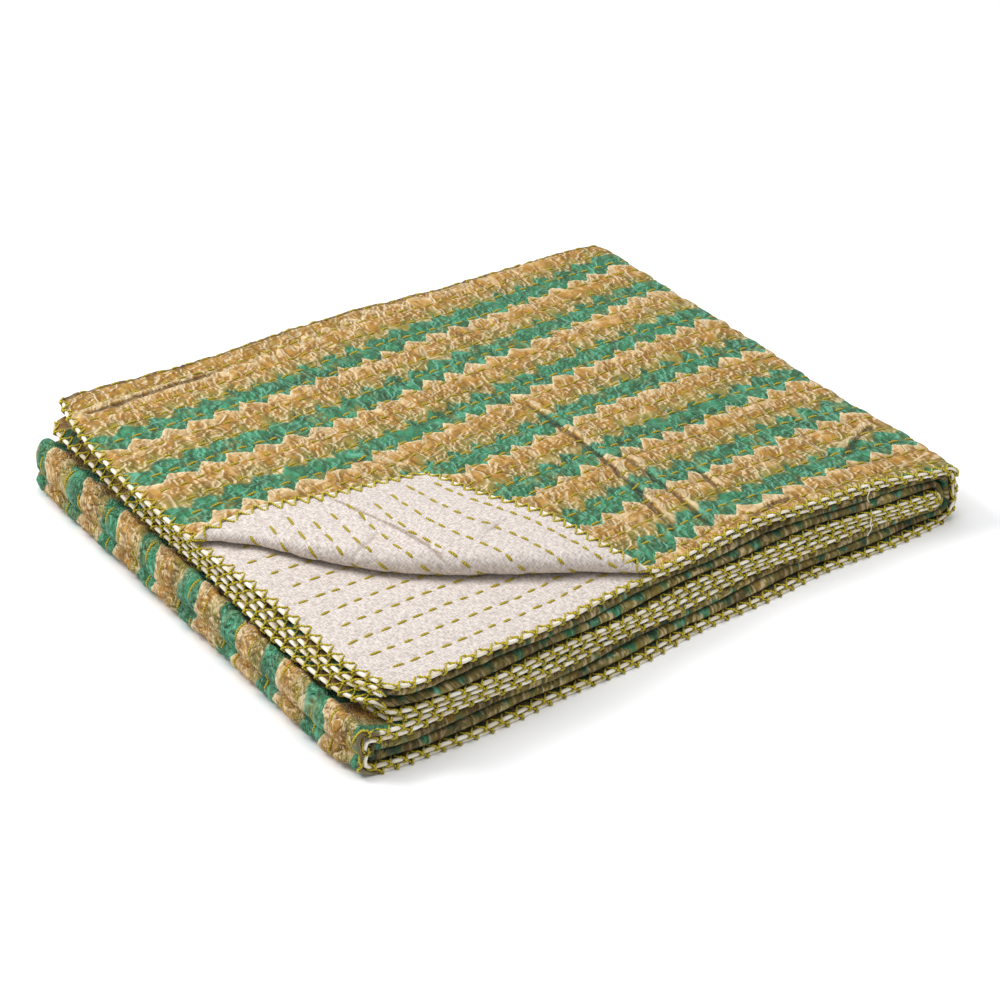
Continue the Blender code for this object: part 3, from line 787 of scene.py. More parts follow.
@dataclass
class QuiltingRelief:
    """Puckers, rows and creases that quilting gives the cloth, as heights off its surface."""

    folding: QuiltFolding
    row_pitch: float = 0.0166
    row_start: float = 0.0100
    row_width: float = 0.0024
    row_wobble: float = 0.0009
    wobble_run: float = 0.060
    wobble_step: float = 3.7
    wobble_seed: int = 11
    row_flatness: float = 0.35
    row_depth: float = 0.75
    shape_rise: float = 0.10
    broad_warp: Lumps = Lumps(0.024, 0.020, 0.0050, 21)
    fine_warp: Lumps = Lumps(0.009, 0.012, 0.0020, 22)
    pucker: Lumps = Lumps(0.0082, 0.0140, 0.50, 23)
    second_pucker: Lumps = Lumps(0.0120, 0.0100, 0.28, 24)
    broad: Lumps = Lumps(0.026, 0.022, 0.30, 25)
    backing_lumps: Lumps = Lumps(0.017, 0.019, 0.55, 31)
    bend_crumple: Lumps = Lumps(0.0050, 0.0060, 0.75, 33)
    pucker_drop: float = 2.2
    crumple_drop: float = 2.4
    backing_share: float = 0.35
    bend_share: float = 0.65
    hem_clear: float = 0.0060
    print_height: float = 0.00125
    backing_height: float = 0.00085
    fold_height: float = 0.00055
    resting_height: float = 0.00030
    inner_height: float = 0.00025
    deepest: float = 0.00110
    # Painted shade: how far the relief is lowered in the print's front folds and between plies.
    fold_recess_shade: float = 1.25
    inner_recess_shade: float = 1.2
    crease_start: tuple[float, float] = (-0.05, 0.15)
    crease_stop: tuple[float, float] = (0.85, 1.05)
    ridge_side: float = 0.7
    trough_side: float = 0.6
    # Crease height that gives one unit of painted shade in a trough and painted highlight on a ridge.
    crease_shade_unit: float = 0.0004
    flap_roll: float = 0.004
    bare_reach: float = 0.030
    edge_share: float = 0.42
    edge_run: float = 0.0055
    creases: tuple[Crease, ...] = (
        Crease((0.266, 0.210), (0.249, 0.034), 0.006, 0.0024, 0.0017),
        Crease((0.277, 0.127), (0.271, 0.024), 0.003, 0.0022, 0.0015),
        Crease((0.307, 0.092), (0.305, 0.061), 0.002, 0.0022, 0.0013),
        Crease((0.003, 0.345), (0.112, 0.353), 0.002, 0.0024, 0.0014),
        Crease((0.290, 0.020), (0.335, 0.030), 0.003, 0.0026, 0.0012),
        Crease((0.395, 0.048), (0.458, 0.075), 0.004, 0.0026, 0.0012),
        Crease((0.120, 0.215), (0.150, 0.180), 0.002, 0.0024, 0.0008),
    )
    flap_creases: tuple[Crease, ...] = (
        Crease((0.004, 0.080), (0.098, 0.065), -0.0115, 0.0021, 0.0022),
        Crease((0.091, 0.010), (0.094, 0.037), 0.0020, 0.0026, 0.0008),
        Crease((0.054, 0.102), (0.046, 0.070), 0.0020, 0.0026, 0.0008),
        Crease((0.076, 0.064), (0.072, 0.044), 0.0010, 0.0024, 0.0006),
    )

    def row_across(self, row: Array, along: Array) -> Array:
        """Place stitch rows across the sheet: a row's number times the pitch, with a wobble."""
        noise = lattice_noise(along / self.wobble_run, row * self.wobble_step, self.wobble_seed)
        return self.row_start + row * self.row_pitch + self.row_wobble * noise

    def rows(self, along: Array, across: Array) -> Array:
        """Closeness to the nearest stitch row: a bell over the distance to it.

        Args:
            along: Distance from the first short edge.
            across: Distance from the first long edge.

        Returns:
            1 on a row, and near 0 between rows.
        """
        row = np.round((across - self.row_start) / self.row_pitch)
        away = across - self.row_across(row, along)
        return np.exp(-((away / self.row_width) ** 2))

    def puckers(self, along: Array, across: Array) -> Array:
        """Puckers: ridged noise, short along and long across, on warped places, plus broad noise.

        Args:
            along: Distance from the first short edge.
            across: Distance from the first long edge.

        Returns:
            The puckers, mostly from -1 to 1.
        """
        warp = self.broad_warp.at(along, across)
        warp = warp + self.fine_warp.at(along, across)
        ridged = self.pucker.ridged(along + warp, across, self.pucker_drop)
        second = self.second_pucker.ridged(along - warp, across + warp, self.pucker_drop)
        return ridged + second + self.broad.at(along, across)

    def sections(self, along: Array, across: Array) -> tuple[Array, Array]:
        """Return each place's layer and ply."""
        fold = self.folding
        return fold.section(along, fold.along_ends)[0], fold.section(across, fold.across_ends)[0]

    def exposure(self, along: Array, across: Array, face: Face) -> Array:
        """How high each place may pucker: most where it shows, little between plies.

        Args:
            along: Distance from the first short edge.
            across: Distance from the first long edge.
            face: Face of the cloth.

        Returns:
            Heights that puckers may reach, in metres.
        """
        fold = self.folding
        layer, ply = self.sections(along, across)
        x, y, _ = fold.plan(along, across)
        past = fold.past_fold(x, y)[0]
        first = ply == Ply.FIRST
        top = layer == Layer.TOP
        free = np.full(along.shape, self.inner_height)
        if face is Face.PRINT:
            shown = (ply <= Ply.BACK_FOLD) & ((layer <= Layer.OUTER_BEND) | (layer == Layer.LEFT_BEND))
            free = np.where(shown, self.print_height, free)
            behind = (ply == Ply.BACK_FOLD) & (layer > Layer.OUTER_BEND)
            free = np.where((ply == Ply.FRONT_FOLD) | behind, self.fold_height, free)
            free = np.where(first & (layer == Layer.BOTTOM), self.resting_height, free)
            free = np.where(first & top & (past > 0.0), self.inner_height, free)
        else:
            flap = first & (past > -self.flap_roll)
            bare = (ply == Ply.FOURTH) & (past > -self.bare_reach)
            free = np.where(top & (flap | bare), self.backing_height, free)
        return free * ease(fold.edge_distance(along, across), 0.0, self.hem_clear)

    def crease_heights(self, along: Array, across: Array, face: Face) -> Array:
        """Creases: beside a bowed line, a trough on one side and a ridge on the other.

        Args:
            along: Distance from the first short edge.
            across: Distance from the first long edge.
            face: Face whose creases are meant. They are placed on the unturned top ply.

        Returns:
            Heights in metres, on the top ply only.
        """
        x, y, _ = self.folding.plan(along, across)
        total = np.zeros_like(x)
        for crease in self.creases if face is Face.PRINT else self.flap_creases:
            start = np.array(crease.start)
            line = np.array(crease.end) - start
            length = float(np.linalg.norm(line))
            line = line / length
            share = ((x - start[0]) * line[0] + (y - start[1]) * line[1]) / length
            bow = crease.bend * np.sin(np.pi * np.clip(share, 0.0, 1.0))
            away = (x - start[0]) * -line[1] + (y - start[1]) * line[0] - bow
            ends = ease(share, *self.crease_start) * (1.0 - ease(share, *self.crease_stop))
            near = away / crease.width
            ridge = np.exp(-((near - self.ridge_side) ** 2))
            trough = np.exp(-((near + self.trough_side) ** 2))
            total += crease.depth * ends * (ridge - trough)
        return np.where(self.folding.in_top_ply(along, across), total, 0.0)

    def shape(self, along: Array, across: Array, face: Face) -> Array:
        """Relief from about -1 in a hollow to 1 on a ridge: puckers less the stitch rows.

        The backing is smoother, and the printed face is crumpled more finely on the left bend.

        Args:
            along: Distance from the first short edge.
            across: Distance from the first long edge.
            face: Face of the cloth.

        Returns:
            The relief.
        """
        rows = self.rows(along, across)
        puckers = self.puckers(along, across)
        if face is Face.BACKING:
            puckers = self.backing_lumps.at(along, across) + self.backing_share * puckers
        else:
            bend = self.sections(along, across)[0] == Layer.LEFT_BEND
            fine = self.bend_crumple.ridged(along, across, self.crumple_drop)
            puckers = np.where(bend, self.bend_share * puckers + fine, puckers)
        return puckers * (1.0 - self.row_flatness * rows) - self.row_depth * rows + self.shape_rise

    def recess_shade(self, along: Array, across: Array, face: Face) -> Array:
        """Painted shade: how deep in the stack each place lies, by which its relief is lowered so that the
        materials darken it.

        Args:
            along: Distance from the first short edge.
            across: Distance from the first long edge.
            face: Face of the cloth.

        Returns:
            0 where the place is free, and more between plies and in the print's front folds.
        """
        layer, ply = self.sections(along, across)
        front_fold = ply == Ply.FRONT_FOLD
        deep = np.where(front_fold & (face is Face.PRINT), self.fold_recess_shade, 0.0)
        inner = (ply > Ply.FIRST) & ~front_fold & (layer != Layer.LEFT_BEND)
        if face is Face.BACKING:
            inner = inner & ~((ply == Ply.FOURTH) & (layer == Layer.TOP))
        return np.where(inner, self.inner_recess_shade, deep)

    def tone(self, along: Array, across: Array, face: Face) -> Array:
        """Relief from which the materials paint shade and highlights: the shape less the painted recess
        shade, plus the creases as painted shade in troughs and highlights on ridges.
        """
        shape = self.shape(along, across, face) - self.recess_shade(along, across, face)
        return shape + self.crease_heights(along, across, face) / self.crease_shade_unit

    def heights(self, along: Array, across: Array, face: Face) -> Array:
        """Height off the cloth's face: shape times exposure, plus creases, above a deepest level.

        Args:
            along: Distance from the first short edge.
            across: Distance from the first long edge.
            face: Face of the cloth.

        Returns:
            Heights in metres.
        """
        free = self.exposure(along, across, face)
        shape = self.shape(along, across, face)
        layer, ply = self.sections(along, across)
        resting = (layer == Layer.BOTTOM) & (ply == Ply.FIRST) & (face is Face.PRINT)
        shape = np.where(resting, np.minimum(shape - 1.0, 0.0), shape)
        total = free * shape + self.crease_heights(along, across, face)
        return np.maximum(total, -self.deepest)

    def half_thickness(self, along: Array, across: Array) -> Array:
        """Half the cloth's thickness, pinched to less than half of that at the border."""
        near = ease(self.folding.edge_distance(along, across), 0.0, self.edge_run)
        return 0.5 * self.folding.thickness * (self.edge_share + (1.0 - self.edge_share) * near)

    def surface(self, along: Array, across: Array, face: Face, lift: Array | float = 0.0) -> Array:
        """Place points on a face: the middle plus the side's half thickness, relief and lift.

        Args:
            along: Distance from the first short edge.
            across: Distance from the first long edge.
            face: Face of the cloth.
            lift: Further height off the face.

        Returns:
            Points as an array whose last axis is x, y, z.
        """
        off = self.half_thickness(along, across) + self.heights(along, across, face) + lift
        normals = self.folding.normals(along, across)
        return self.folding.middle(along, across) + face.value * off[..., None] * normals


class Nodes:
    """Adds shader nodes to a tree, one call for each kind of node."""

    def __init__(self, tree: bpy.types.NodeTree) -> None:
        """Keep the tree to add to."""
        self.tree = tree

    def add(self, kind: str, **settings: object) -> bpy.types.Node:
        """Add a node of a kind and set its properties.

        Args:
            kind: Node type.
            settings: Properties to set, by name.

        Returns:
            The new node.
        """
        node = self.tree.nodes.new(kind)
        for name, value in settings.items():
            setattr(node, name, value)
        return node

    def feed(self, target: Socket, source: object) -> None:
        """Link a socket to the target, or set the target's value."""
        if isinstance(source, Socket):
            self.tree.links.new(source, target)
        else:
            target.default_value = source

    def math(self, operation: str, *values: object, clamp: bool = False) -> Socket:
        """Add a Math node.

        Args:
            operation: The node's operation.
            values: Sockets or numbers for its inputs, in order.
            clamp: Whether the result is held within 0 and 1.

        Returns:
            The result.
        """
        node = self.add("ShaderNodeMath", operation=operation, use_clamp=clamp)
        for socket, value in zip(node.inputs, values):
            self.feed(socket, value)
        return node.outputs[0]

    def times(self, first: object, second: object) -> Socket:
        """Multiply two values."""
        return self.math("MULTIPLY", first, second)

    def plus(self, first: object, second: object) -> Socket:
        """Add two values."""
        return self.math("ADD", first, second)

    def minus(self, first: object, second: object) -> Socket:
        """Take the second value from the first."""
        return self.math("SUBTRACT", first, second)

    def over(self, first: object, second: object) -> Socket:
        """Divide the first value by the second."""
        return self.math("DIVIDE", first, second)

    def larger(self, first: object, second: object) -> Socket:
        """Return the larger of two values."""
        return self.math("MAXIMUM", first, second)

    def times_plus(self, value: object, by: object, more: object) -> Socket:
        """Multiply a value, then add another to it."""
        return self.math("MULTIPLY_ADD", value, by, more)

    def noise(
        self, place: object, x: float, y: float, shift: float = 0.0, detail: float = 1.0, rough: float = 0.5
    ) -> Socket:
        """Add a noise, which is about 0.5 on average.

        Args:
            place: Place on the flat sheet, in metres.
            x: Lumps to a metre along.
            y: Lumps to a metre across.
            shift: Shift of the pattern, in lumps.
            detail: Octaves of finer noise.
            rough: Share of each finer octave.

        Returns:
            The noise.
        """
        node = self.add("ShaderNodeTexNoise")
        self.feed(node.inputs["Vector"], self.scaled(place, x, y, shift))
        for name, value in (("Scale", 1.0), ("Detail", detail), ("Roughness", rough)):
            node.inputs[name].default_value = value
        return node.outputs["Fac"]

    def ramp(self, value: object, low: float, high: float) -> Socket:
        """Map a value to 0 at low and 1 at high, with eased ends.

        Args:
            value: The value.
            low: Where the result is 0.
            high: Where the result is 1. It may be below low.

        Returns:
            The share from 0 to 1.
        """
        node = self.add("ShaderNodeMapRange", interpolation_type="SMOOTHSTEP")
        self.feed(node.inputs["Value"], value)
        node.inputs["From Min"].default_value = low
        node.inputs["From Max"].default_value = high
        return node.outputs["Result"]

    def mix(self, share: object, first: object, second: object, blend: str = "MIX") -> Socket:
        """Mix two colours. A tuple of three is a screen colour of 0 to 255.

        Args:
            share: Share of the second colour.
            first: First colour.
            second: Second colour.
            blend: The node's way of mixing.

        Returns:
            The colour.
        """
        node = self.add("ShaderNodeMix", data_type="RGBA", blend_type=blend)
        self.feed(node.inputs[0], share)
        for socket, colour in ((node.inputs[6], first), (node.inputs[7], second)):
            screen = isinstance(colour, tuple) and len(colour) == 3
            self.feed(socket, linear(*colour) if screen else colour)
        return node.outputs[2]

    def mix_values(self, share: object, first: object, second: object) -> Socket:
        """Mix two values by a share."""
        return self.times_plus(self.minus(second, first), share, first)

    def darken(self, share: object, colour: object, by: Colour) -> Socket:
        """Multiply a colour by another, given in shares of 1, by a share."""
        return self.mix(share, colour, (*by, 1.0), "MULTIPLY")

    def scaled(self, vector: object, x: float, y: float, shift: float = 0.0) -> Socket:
        """Stretch a vector in its first two axes, then shift it.

        Args:
            vector: The vector.
            x: Stretch in the first axis.
            y: Stretch in the second axis.
            shift: Shift in both.

        Returns:
            The new vector.
        """
        node = self.add("ShaderNodeMapping")
        self.feed(node.inputs["Vector"], vector)
        node.inputs["Scale"].default_value = (x, y, 1.0)
        node.inputs["Location"].default_value = (shift, shift, 0.0)
        return node.outputs["Vector"]

    def split(self, vector: object) -> tuple[Socket, Socket]:
        """Return the first two parts of a vector."""
        node = self.add("ShaderNodeSeparateXYZ")
        self.feed(node.inputs[0], vector)
        return node.outputs[0], node.outputs[1]

    def relief(self) -> Socket:
        """Return the relief at the piece's vertices, from about -1 to 1, from which the materials paint shade
        and highlights.
        """
        return self.add("ShaderNodeAttribute", attribute_name=RELIEF_SHADE_NAME).outputs["Fac"]

    def uv(self) -> Socket:
        """Return the place in the piece's UV map."""
        return self.add("ShaderNodeUVMap", uv_map=UV_NAME).outputs["UV"]

    def cloth_place(self) -> Socket:
        """Return the place on the flat sheet in metres."""
        return self.scaled(self.uv(), UV_METRES, UV_METRES)

    def bump(self, shader: bpy.types.Node, height: object, strength: float, distance: float) -> None:
        """Bend a shader's normal by a height.

        Args:
            shader: The shader.
            height: The height, in shares of the distance.
            strength: Strength of the bump.
            distance: Distance in metres.
        """
        node = self.add("ShaderNodeBump")
        node.inputs["Strength"].default_value = strength
        node.inputs["Distance"].default_value = distance
        self.feed(node.inputs["Height"], height)
        self.feed(shader.inputs["Normal"], node.outputs["Normal"])


class ClothGroups:
    """Node groups that the printed face and the backing share."""

    crease_step: float = 0.0007
    crease_kinds: tuple[tuple[float, float, float, float], ...] = (
        (66.0, 34.0, 0.0, 1.0),
        (125.0, 78.0, 37.0, 0.8),
        (48.0, 70.0, 71.0, 0.9),
    )

    def __init__(self) -> None:
        """Build each group once."""
        self.weave_tree = self.weave()
        self.crinkle_tree = self.crinkle()

    @staticmethod
    def start(name: str, inputs: dict[str, float], outputs: tuple[str, ...]) -> tuple:
        """Start a node group with a vector input named Place.

        Args:
            name: Name of the group.
            inputs: Number inputs and their first values.
            outputs: Number outputs.

        Returns:
            The group, its node helper, its input node and its output node.
        """
        tree = bpy.data.node_groups.new(name, "ShaderNodeTree")
        tree.interface.new_socket("Place", in_out="INPUT", socket_type="NodeSocketVector")
        for label, value in inputs.items():
            socket = tree.interface.new_socket(label, in_out="INPUT", socket_type="NodeSocketFloat")
            socket.default_value = value
        for label in outputs:
            tree.interface.new_socket(label, in_out="OUTPUT", socket_type="NodeSocketFloat")
        nodes = Nodes(tree)
        return tree, nodes, nodes.add("NodeGroupInput"), nodes.add("NodeGroupOutput")

    @classmethod
    def weave(cls) -> bpy.types.NodeTree:
        """Build a plain weave: crossed sine threads, with slubs from stretched noise.

        Returns:
            The group, with the thread height and the share of light slubs.
        """
        tree, nodes, given, result = cls.start("plain_weave", {"Threads": 1.0}, ("Height", "Fleck"))
        place = given.outputs["Place"]
        threads = given.outputs["Threads"]
        waves = [nodes.math("SINE", nodes.times(axis, threads)) for axis in nodes.split(place)]
        along = nodes.noise(place, 260.0, 1500.0, detail=2.0, rough=0.6)
        up = nodes.noise(place, 1500.0, 260.0, detail=2.0, rough=0.6)
        slubs = nodes.plus(along, up)
        nodes.feed(result.inputs["Height"], nodes.times_plus(nodes.times(*waves), 0.25, slubs))
        nodes.feed(result.inputs["Fleck"], nodes.ramp(slubs, 0.75, 1.25))
        return tree

    @classmethod
    def crinkle(cls) -> bpy.types.NodeTree:
        """Build fine crinkles, with painted light on one side of each crease and painted shade on the other.

        The creases' height at two places close together gives the slope that sets where light and shade are
        painted.

        Returns:
            The group, with the height, the painted light share, the painted shade share and broad facets.
        """
        outputs = ("Height", "PaintedLight", "PaintedShade", "Facet")
        tree, nodes, given, result = cls.start("fine_crinkle", {"Width": 0.10}, outputs)
        place = given.outputs["Place"]
        sides = []
        for shift in (-cls.crease_step, cls.crease_step):
            moved = nodes.add("ShaderNodeVectorMath", operation="ADD")
            nodes.feed(moved.inputs[0], place)
            # The offset sets the side from which the painted light falls on the creases.
            moved.inputs[1].default_value = (-shift, 0.8 * shift, 0.0)
            width = given.outputs["Width"]
            sides.append([cls.crease(nodes, moved.outputs[0], width, *kind) for kind in cls.crease_kinds])
        lit = [nodes.minus(after, before) for before, after in zip(*sides)]
        slope, height = [nodes.plus(nodes.plus(*parts[:2]), parts[2]) for parts in (lit, sides[0])]
        broad = nodes.noise(place, 120.0, 75.0, detail=3.0, rough=0.6)
        nodes.feed(result.inputs["Height"], nodes.times_plus(broad, 1.2, height))
        nodes.feed(result.inputs["PaintedLight"], nodes.ramp(slope, 0.06, 0.60))
        nodes.feed(result.inputs["PaintedShade"], nodes.ramp(slope, -0.06, -0.60))
        nodes.feed(result.inputs["Facet"], nodes.noise(place, 150.0, 85.0, 5.0, detail=3.0, rough=0.65))
        return tree

    @staticmethod
    def crease(
        nodes: Nodes, place: object, width: object, x: float, y: float, shift: float, depth: float
    ) -> Socket:
        """Build creases: no height where a noise crosses its middle, full height beside it.

        Args:
            nodes: Node helper of the group.
            place: Place on the flat sheet.
            width: How far from its middle the noise is when the height is full.
            x: Lumps of the noise to a metre along.
            y: Lumps of the noise to a metre across.
            shift: Shift of the noise.
            depth: Full height.

        Returns:
            The height, which is nothing in patches left smooth.
        """
        away = nodes.math("ABSOLUTE", nodes.minus(nodes.noise(place, x, y, shift, 2.0, 0.55), 0.5))
        shown = nodes.ramp(nodes.noise(place, 0.5 * x, 0.5 * y, shift), 0.36, 0.52)
        wall = nodes.math("DIVIDE", away, width, clamp=True)
        return nodes.times(nodes.times(wall, shown), depth)

    @staticmethod
    def use(nodes: Nodes, tree: bpy.types.NodeTree, place: object, **values: float) -> bpy.types.Node:
        """Place a group in a material.

        Args:
            nodes: Node helper of the material.
            tree: The group.
            place: Place on the flat sheet.
            values: The material's own values, by input.

        Returns:
            The group's node.
        """
        node = nodes.add("ShaderNodeGroup", node_tree=tree)
        nodes.feed(node.inputs["Place"], place)
        for label, value in values.items():
            node.inputs[label].default_value = value
        return node


def new_material(
    name: str, roughness: float, sheen: float
) -> tuple[bpy.types.Material, Nodes, bpy.types.Node]:
    """Start a material whose shader has its constants set.

    Args:
        name: Material name.
        roughness: Shader roughness.
        sheen: Shader sheen weight.

    Returns:
        The material, its node helper and its shader.
    """
    material = bpy.data.materials.new(name)
    material.use_nodes = True
    shader = material.node_tree.nodes["Principled BSDF"]
    shader.inputs["Roughness"].default_value = roughness
    shader.inputs["Sheen Weight"].default_value = sheen
    shader.inputs["Specular IOR Level"].default_value = 0.25
    return material, Nodes(material.node_tree), shader


@dataclass(frozen=True)
class PrintedCotton:
    """Zigzag bands of teal on ochre that fades to peach, printed on crinkled cotton."""

    groups: ClothGroups
    band_pitch: float = 0.0503
    first_band: float = 0.0613
    skew: float = 0.0213
    skew_curve: float = 0.14
    skew_run: float = 0.45
    left_bend_shift: float = -0.0034
    left_bend_stretch: float = 0.098
    front_fold_shift: float = 0.0100
    bare_from: float = 0.330
    bare_full: float = 0.338
    bare_tone: float = 0.66
    tooth_pitch: float = 0.0196
    tooth_depth: float = 0.0092
    tooth_peak: float = 0.37
    teal_share: float = 0.38
    soft_edge: float = 0.03
    crinkle_width: float = 0.075
    crumple_width: float = 0.085
    crumple_scale: tuple[float, float] = (3.0, 2.1)
    threads: float = 12000.0
    bump_distance: float = 0.0012
    teal: Colour = (44, 140, 98)
    deep_teal: Colour = (38, 100, 64)
    # Painted highlight on the teal's lit crinkles.
    aqua_highlight: Colour = (120, 200, 168)
    olive: Colour = (146, 134, 48)
    ochre: Colour = (176, 125, 22)
    tan: Colour = (192, 142, 56)
    peach: Colour = (218, 184, 132)
    # Painted highlight on lit ridges, also the print's pale rim at each band's crisp edge.
    ridge: Colour = (242, 218, 176)
    fleck: Colour = (252, 244, 228)
    # Painted shade on the crinkles' dark side and on dull facets.
    valley_shade: Colour = (0.42, 0.36, 0.16)
    # Painted shade in hollows, stitch-row dimples, crease troughs, front folds and between plies.
    hollow: Colour = (0.34, 0.30, 0.20)

    def build(self) -> bpy.types.Material:
        """Build the material.

        Returns:
            The finished material.
        """
        material, nodes, shader = new_material("printed_cotton", 0.85, 0.06)
        place = nodes.cloth_place()
        use, tree = self.groups.use, self.groups.crinkle_tree
        crinkle = use(nodes, tree, place, Width=self.crinkle_width)
        finer = nodes.scaled(place, *self.crumple_scale, 5.0)
        crumple = use(nodes, tree, finer, Width=self.crumple_width)
        bend = self.bend_share(nodes, place)
        # The first two are the shares of painted light and painted shade on the crinkles.
        ridge, valley_shade, height = [
            nodes.mix_values(bend, crinkle.outputs[name], crumple.outputs[name])
            for name in ("PaintedLight", "PaintedShade", "Height")
        ]
        weave = use(nodes, self.groups.weave_tree, place, Threads=self.threads)
        relief, facet = nodes.relief(), crinkle.outputs["Facet"]
        # Painted highlight: on high relief and on lit broad facets, joined with the crinkles' lit side.
        raised = nodes.times(nodes.ramp(relief, 0.40, 1.40), 0.70)
        raised = nodes.larger(raised, nodes.times(nodes.ramp(facet, 0.52, 0.70), 0.45))
        colour = self.band_colour(nodes, place, nodes.larger(nodes.times(ridge, 0.85), raised))
        # Painted shade: on the crinkles' dark side and on dull broad facets.
        dull_facet_shade = nodes.times(nodes.ramp(facet, 0.56, 0.38), 0.40)
        colour = nodes.darken(nodes.larger(nodes.times(valley_shade, 0.80), dull_facet_shade), colour, self.valley_shade)
        # Painted shade in the relief's hollows, stitch-row dimples, crease troughs, front folds and between
        # plies.
        colour = nodes.darken(nodes.ramp(relief, -0.20, -1.50), colour, self.hollow)
        colour = nodes.mix(nodes.times(weave.outputs["Fleck"], 0.06), colour, self.fleck)
        nodes.feed(shader.inputs["Base Color"], colour)
        height = nodes.times_plus(weave.outputs["Height"], 0.10, height)
        nodes.bump(shader, height, 1.0, self.bump_distance)
        return material

    def band_colour(self, nodes: Nodes, place: object, painted_highlight: object) -> Socket:
        """Colour the bands: teal, crisp and toothed in front and soft behind, on the warm ground.

        Args:
            nodes: Node helper of the material.
            place: Place on the flat sheet.
            painted_highlight: Share of the painted highlight on lit ridges.

        Returns:
            The colour.
        """
        along, across = nodes.split(place)
        lean = self.lean(nodes, along, across)
        bare = self.bare_share(nodes, lean, along, across)
        phase, soft_phase = self.band_phases(nodes, place, lean, along)
        tips = nodes.larger(phase, nodes.times(bare, self.bare_tone))
        # Painted highlight on the warm ground's lit crinkles.
        warm = nodes.mix(painted_highlight, self.warm_colour(nodes, place, tips), self.ridge)
        blotch = nodes.noise(place, 95.0, 75.0, detail=3.0, rough=0.6)
        teal = nodes.mix(nodes.ramp(blotch, 0.38, 0.62), self.deep_teal, self.teal)
        faded = nodes.ramp(nodes.noise(place, 70.0, 55.0, 13.0, detail=3.0, rough=0.6), 0.52, 0.70)
        teal = nodes.mix(nodes.times(faded, 0.65), teal, self.olive)
        # Painted highlight on the teal's lit crinkles.
        teal = nodes.mix(nodes.times(painted_highlight, 0.75), teal, self.aqua_highlight)
        back_edge = nodes.ramp(soft_phase, self.teal_share + self.soft_edge, self.teal_share - self.soft_edge)
        early = nodes.times(nodes.math("LESS_THAN", phase, 0.80), nodes.minus(1.0, bare))
        return nodes.mix(nodes.times(back_edge, early), warm, teal)

    def lean(self, nodes: Nodes, along: object, across: object) -> Socket:
        """Straighten the bands, which curve away along the first ply and shift at the bends.

        Args:
            nodes: Node helper of the material.
            along: Place along the sheet.
            across: Place across it.

        Returns:
            How far across the sheet each place's band lies.
        """
        past = nodes.ramp(across, 0.40, 0.70)
        before = nodes.minus(1.0, past)
        run = nodes.math("MINIMUM", along, self.skew_run)
        slope = nodes.times_plus(run, self.skew_curve, self.skew)
        fall = nodes.times(nodes.times(run, slope), before)
        shift = nodes.times_plus(across, self.left_bend_stretch, self.left_bend_shift)
        later = nodes.times(nodes.ramp(along, 0.60, 0.85), before)
        lean = nodes.times_plus(later, shift, nodes.minus(across, fall))
        return nodes.times_plus(past, self.front_fold_shift, lean)

    def bend_share(self, nodes: Nodes, place: object) -> Socket:
        """Return where the cloth goes round the left bend and crumples more finely."""
        along, _ = nodes.split(place)
        return nodes.times(nodes.ramp(along, 0.915, 0.930), nodes.ramp(along, 0.985, 0.970))

    def bare_share(self, nodes: Nodes, lean: object, along: object, across: object) -> Socket:
        """Return where a band is left without teal: along the back fold of the first ply."""
        strip = nodes.times(nodes.ramp(lean, self.bare_from, self.bare_full), nodes.ramp(across, 0.41, 0.40))
        return nodes.times(strip, nodes.ramp(along, 0.62, 0.58))

    def band_phases(self, nodes: Nodes, place: object, lean: object, along: object) -> tuple[Socket, Socket]:
        """Repeat the bands, with teeth that rise, fall and vary, and frayed edges.

        Args:
            nodes: Node helper of the material.
            place: Place on the flat sheet.
            lean: How far across the sheet the place's band lies.
            along: Place along the sheet.

        Returns:
            The share of the repeat, for the crisp edge and for the soft one.
        """
        start = self.first_band - 0.5 * self.teal_share * self.band_pitch
        drift = nodes.times_plus(nodes.noise(place, 9.0, 9.0), 0.012, -0.006)
        moved = nodes.plus(nodes.minus(lean, start), drift)
        run = nodes.times_plus(nodes.noise(place, 42.0, 24.0), 0.010, along)
        turn = nodes.math("FRACT", nodes.over(run, self.tooth_pitch))
        rise = nodes.over(turn, self.tooth_peak)
        fall = nodes.over(nodes.minus(1.0, turn), 1.0 - self.tooth_peak)
        tooth = nodes.minus(nodes.math("MINIMUM", rise, fall), 0.5)
        size = nodes.times_plus(nodes.noise(place, 34.0, 14.0), 1.1, 0.45)
        teeth = nodes.times(tooth, nodes.times(size, self.tooth_depth))
        jag = nodes.noise(place, 260.0, 130.0, detail=2.0, rough=0.6)
        crisp = nodes.times_plus(jag, 0.0048, nodes.minus(moved, teeth))
        phase = nodes.math("FRACT", nodes.over(crisp, self.band_pitch))
        bleed = nodes.times_plus(nodes.noise(place, 130.0, 90.0, detail=3.0, rough=0.6), 0.16, -0.08)
        return phase, nodes.plus(phase, bleed)

    def warm_colour(self, nodes: Nodes, place: object, phase: object) -> Socket:
        """Colour the warm ground: olive behind the teal, then ochre, tan and pale peach tips.

        Args:
            nodes: Node helper of the material.
            place: Place on the flat sheet.
            phase: Share of the band repeat.

        Returns:
            The colour.
        """
        uneven = nodes.times_plus(nodes.noise(place, 120.0, 62.0, detail=3.0, rough=0.6), 0.56, -0.28)
        shade = nodes.plus(phase, uneven)
        colour = self.olive
        for low, high, tone in ((0.46, 0.70, self.ochre), (0.66, 0.84, self.tan), (0.84, 0.97, self.peach)):
            colour = nodes.mix(nodes.ramp(shade, low, high), colour, tone)
        return nodes.mix(nodes.times(nodes.ramp(phase, 0.945, 0.985), 0.8), colour, self.ridge)


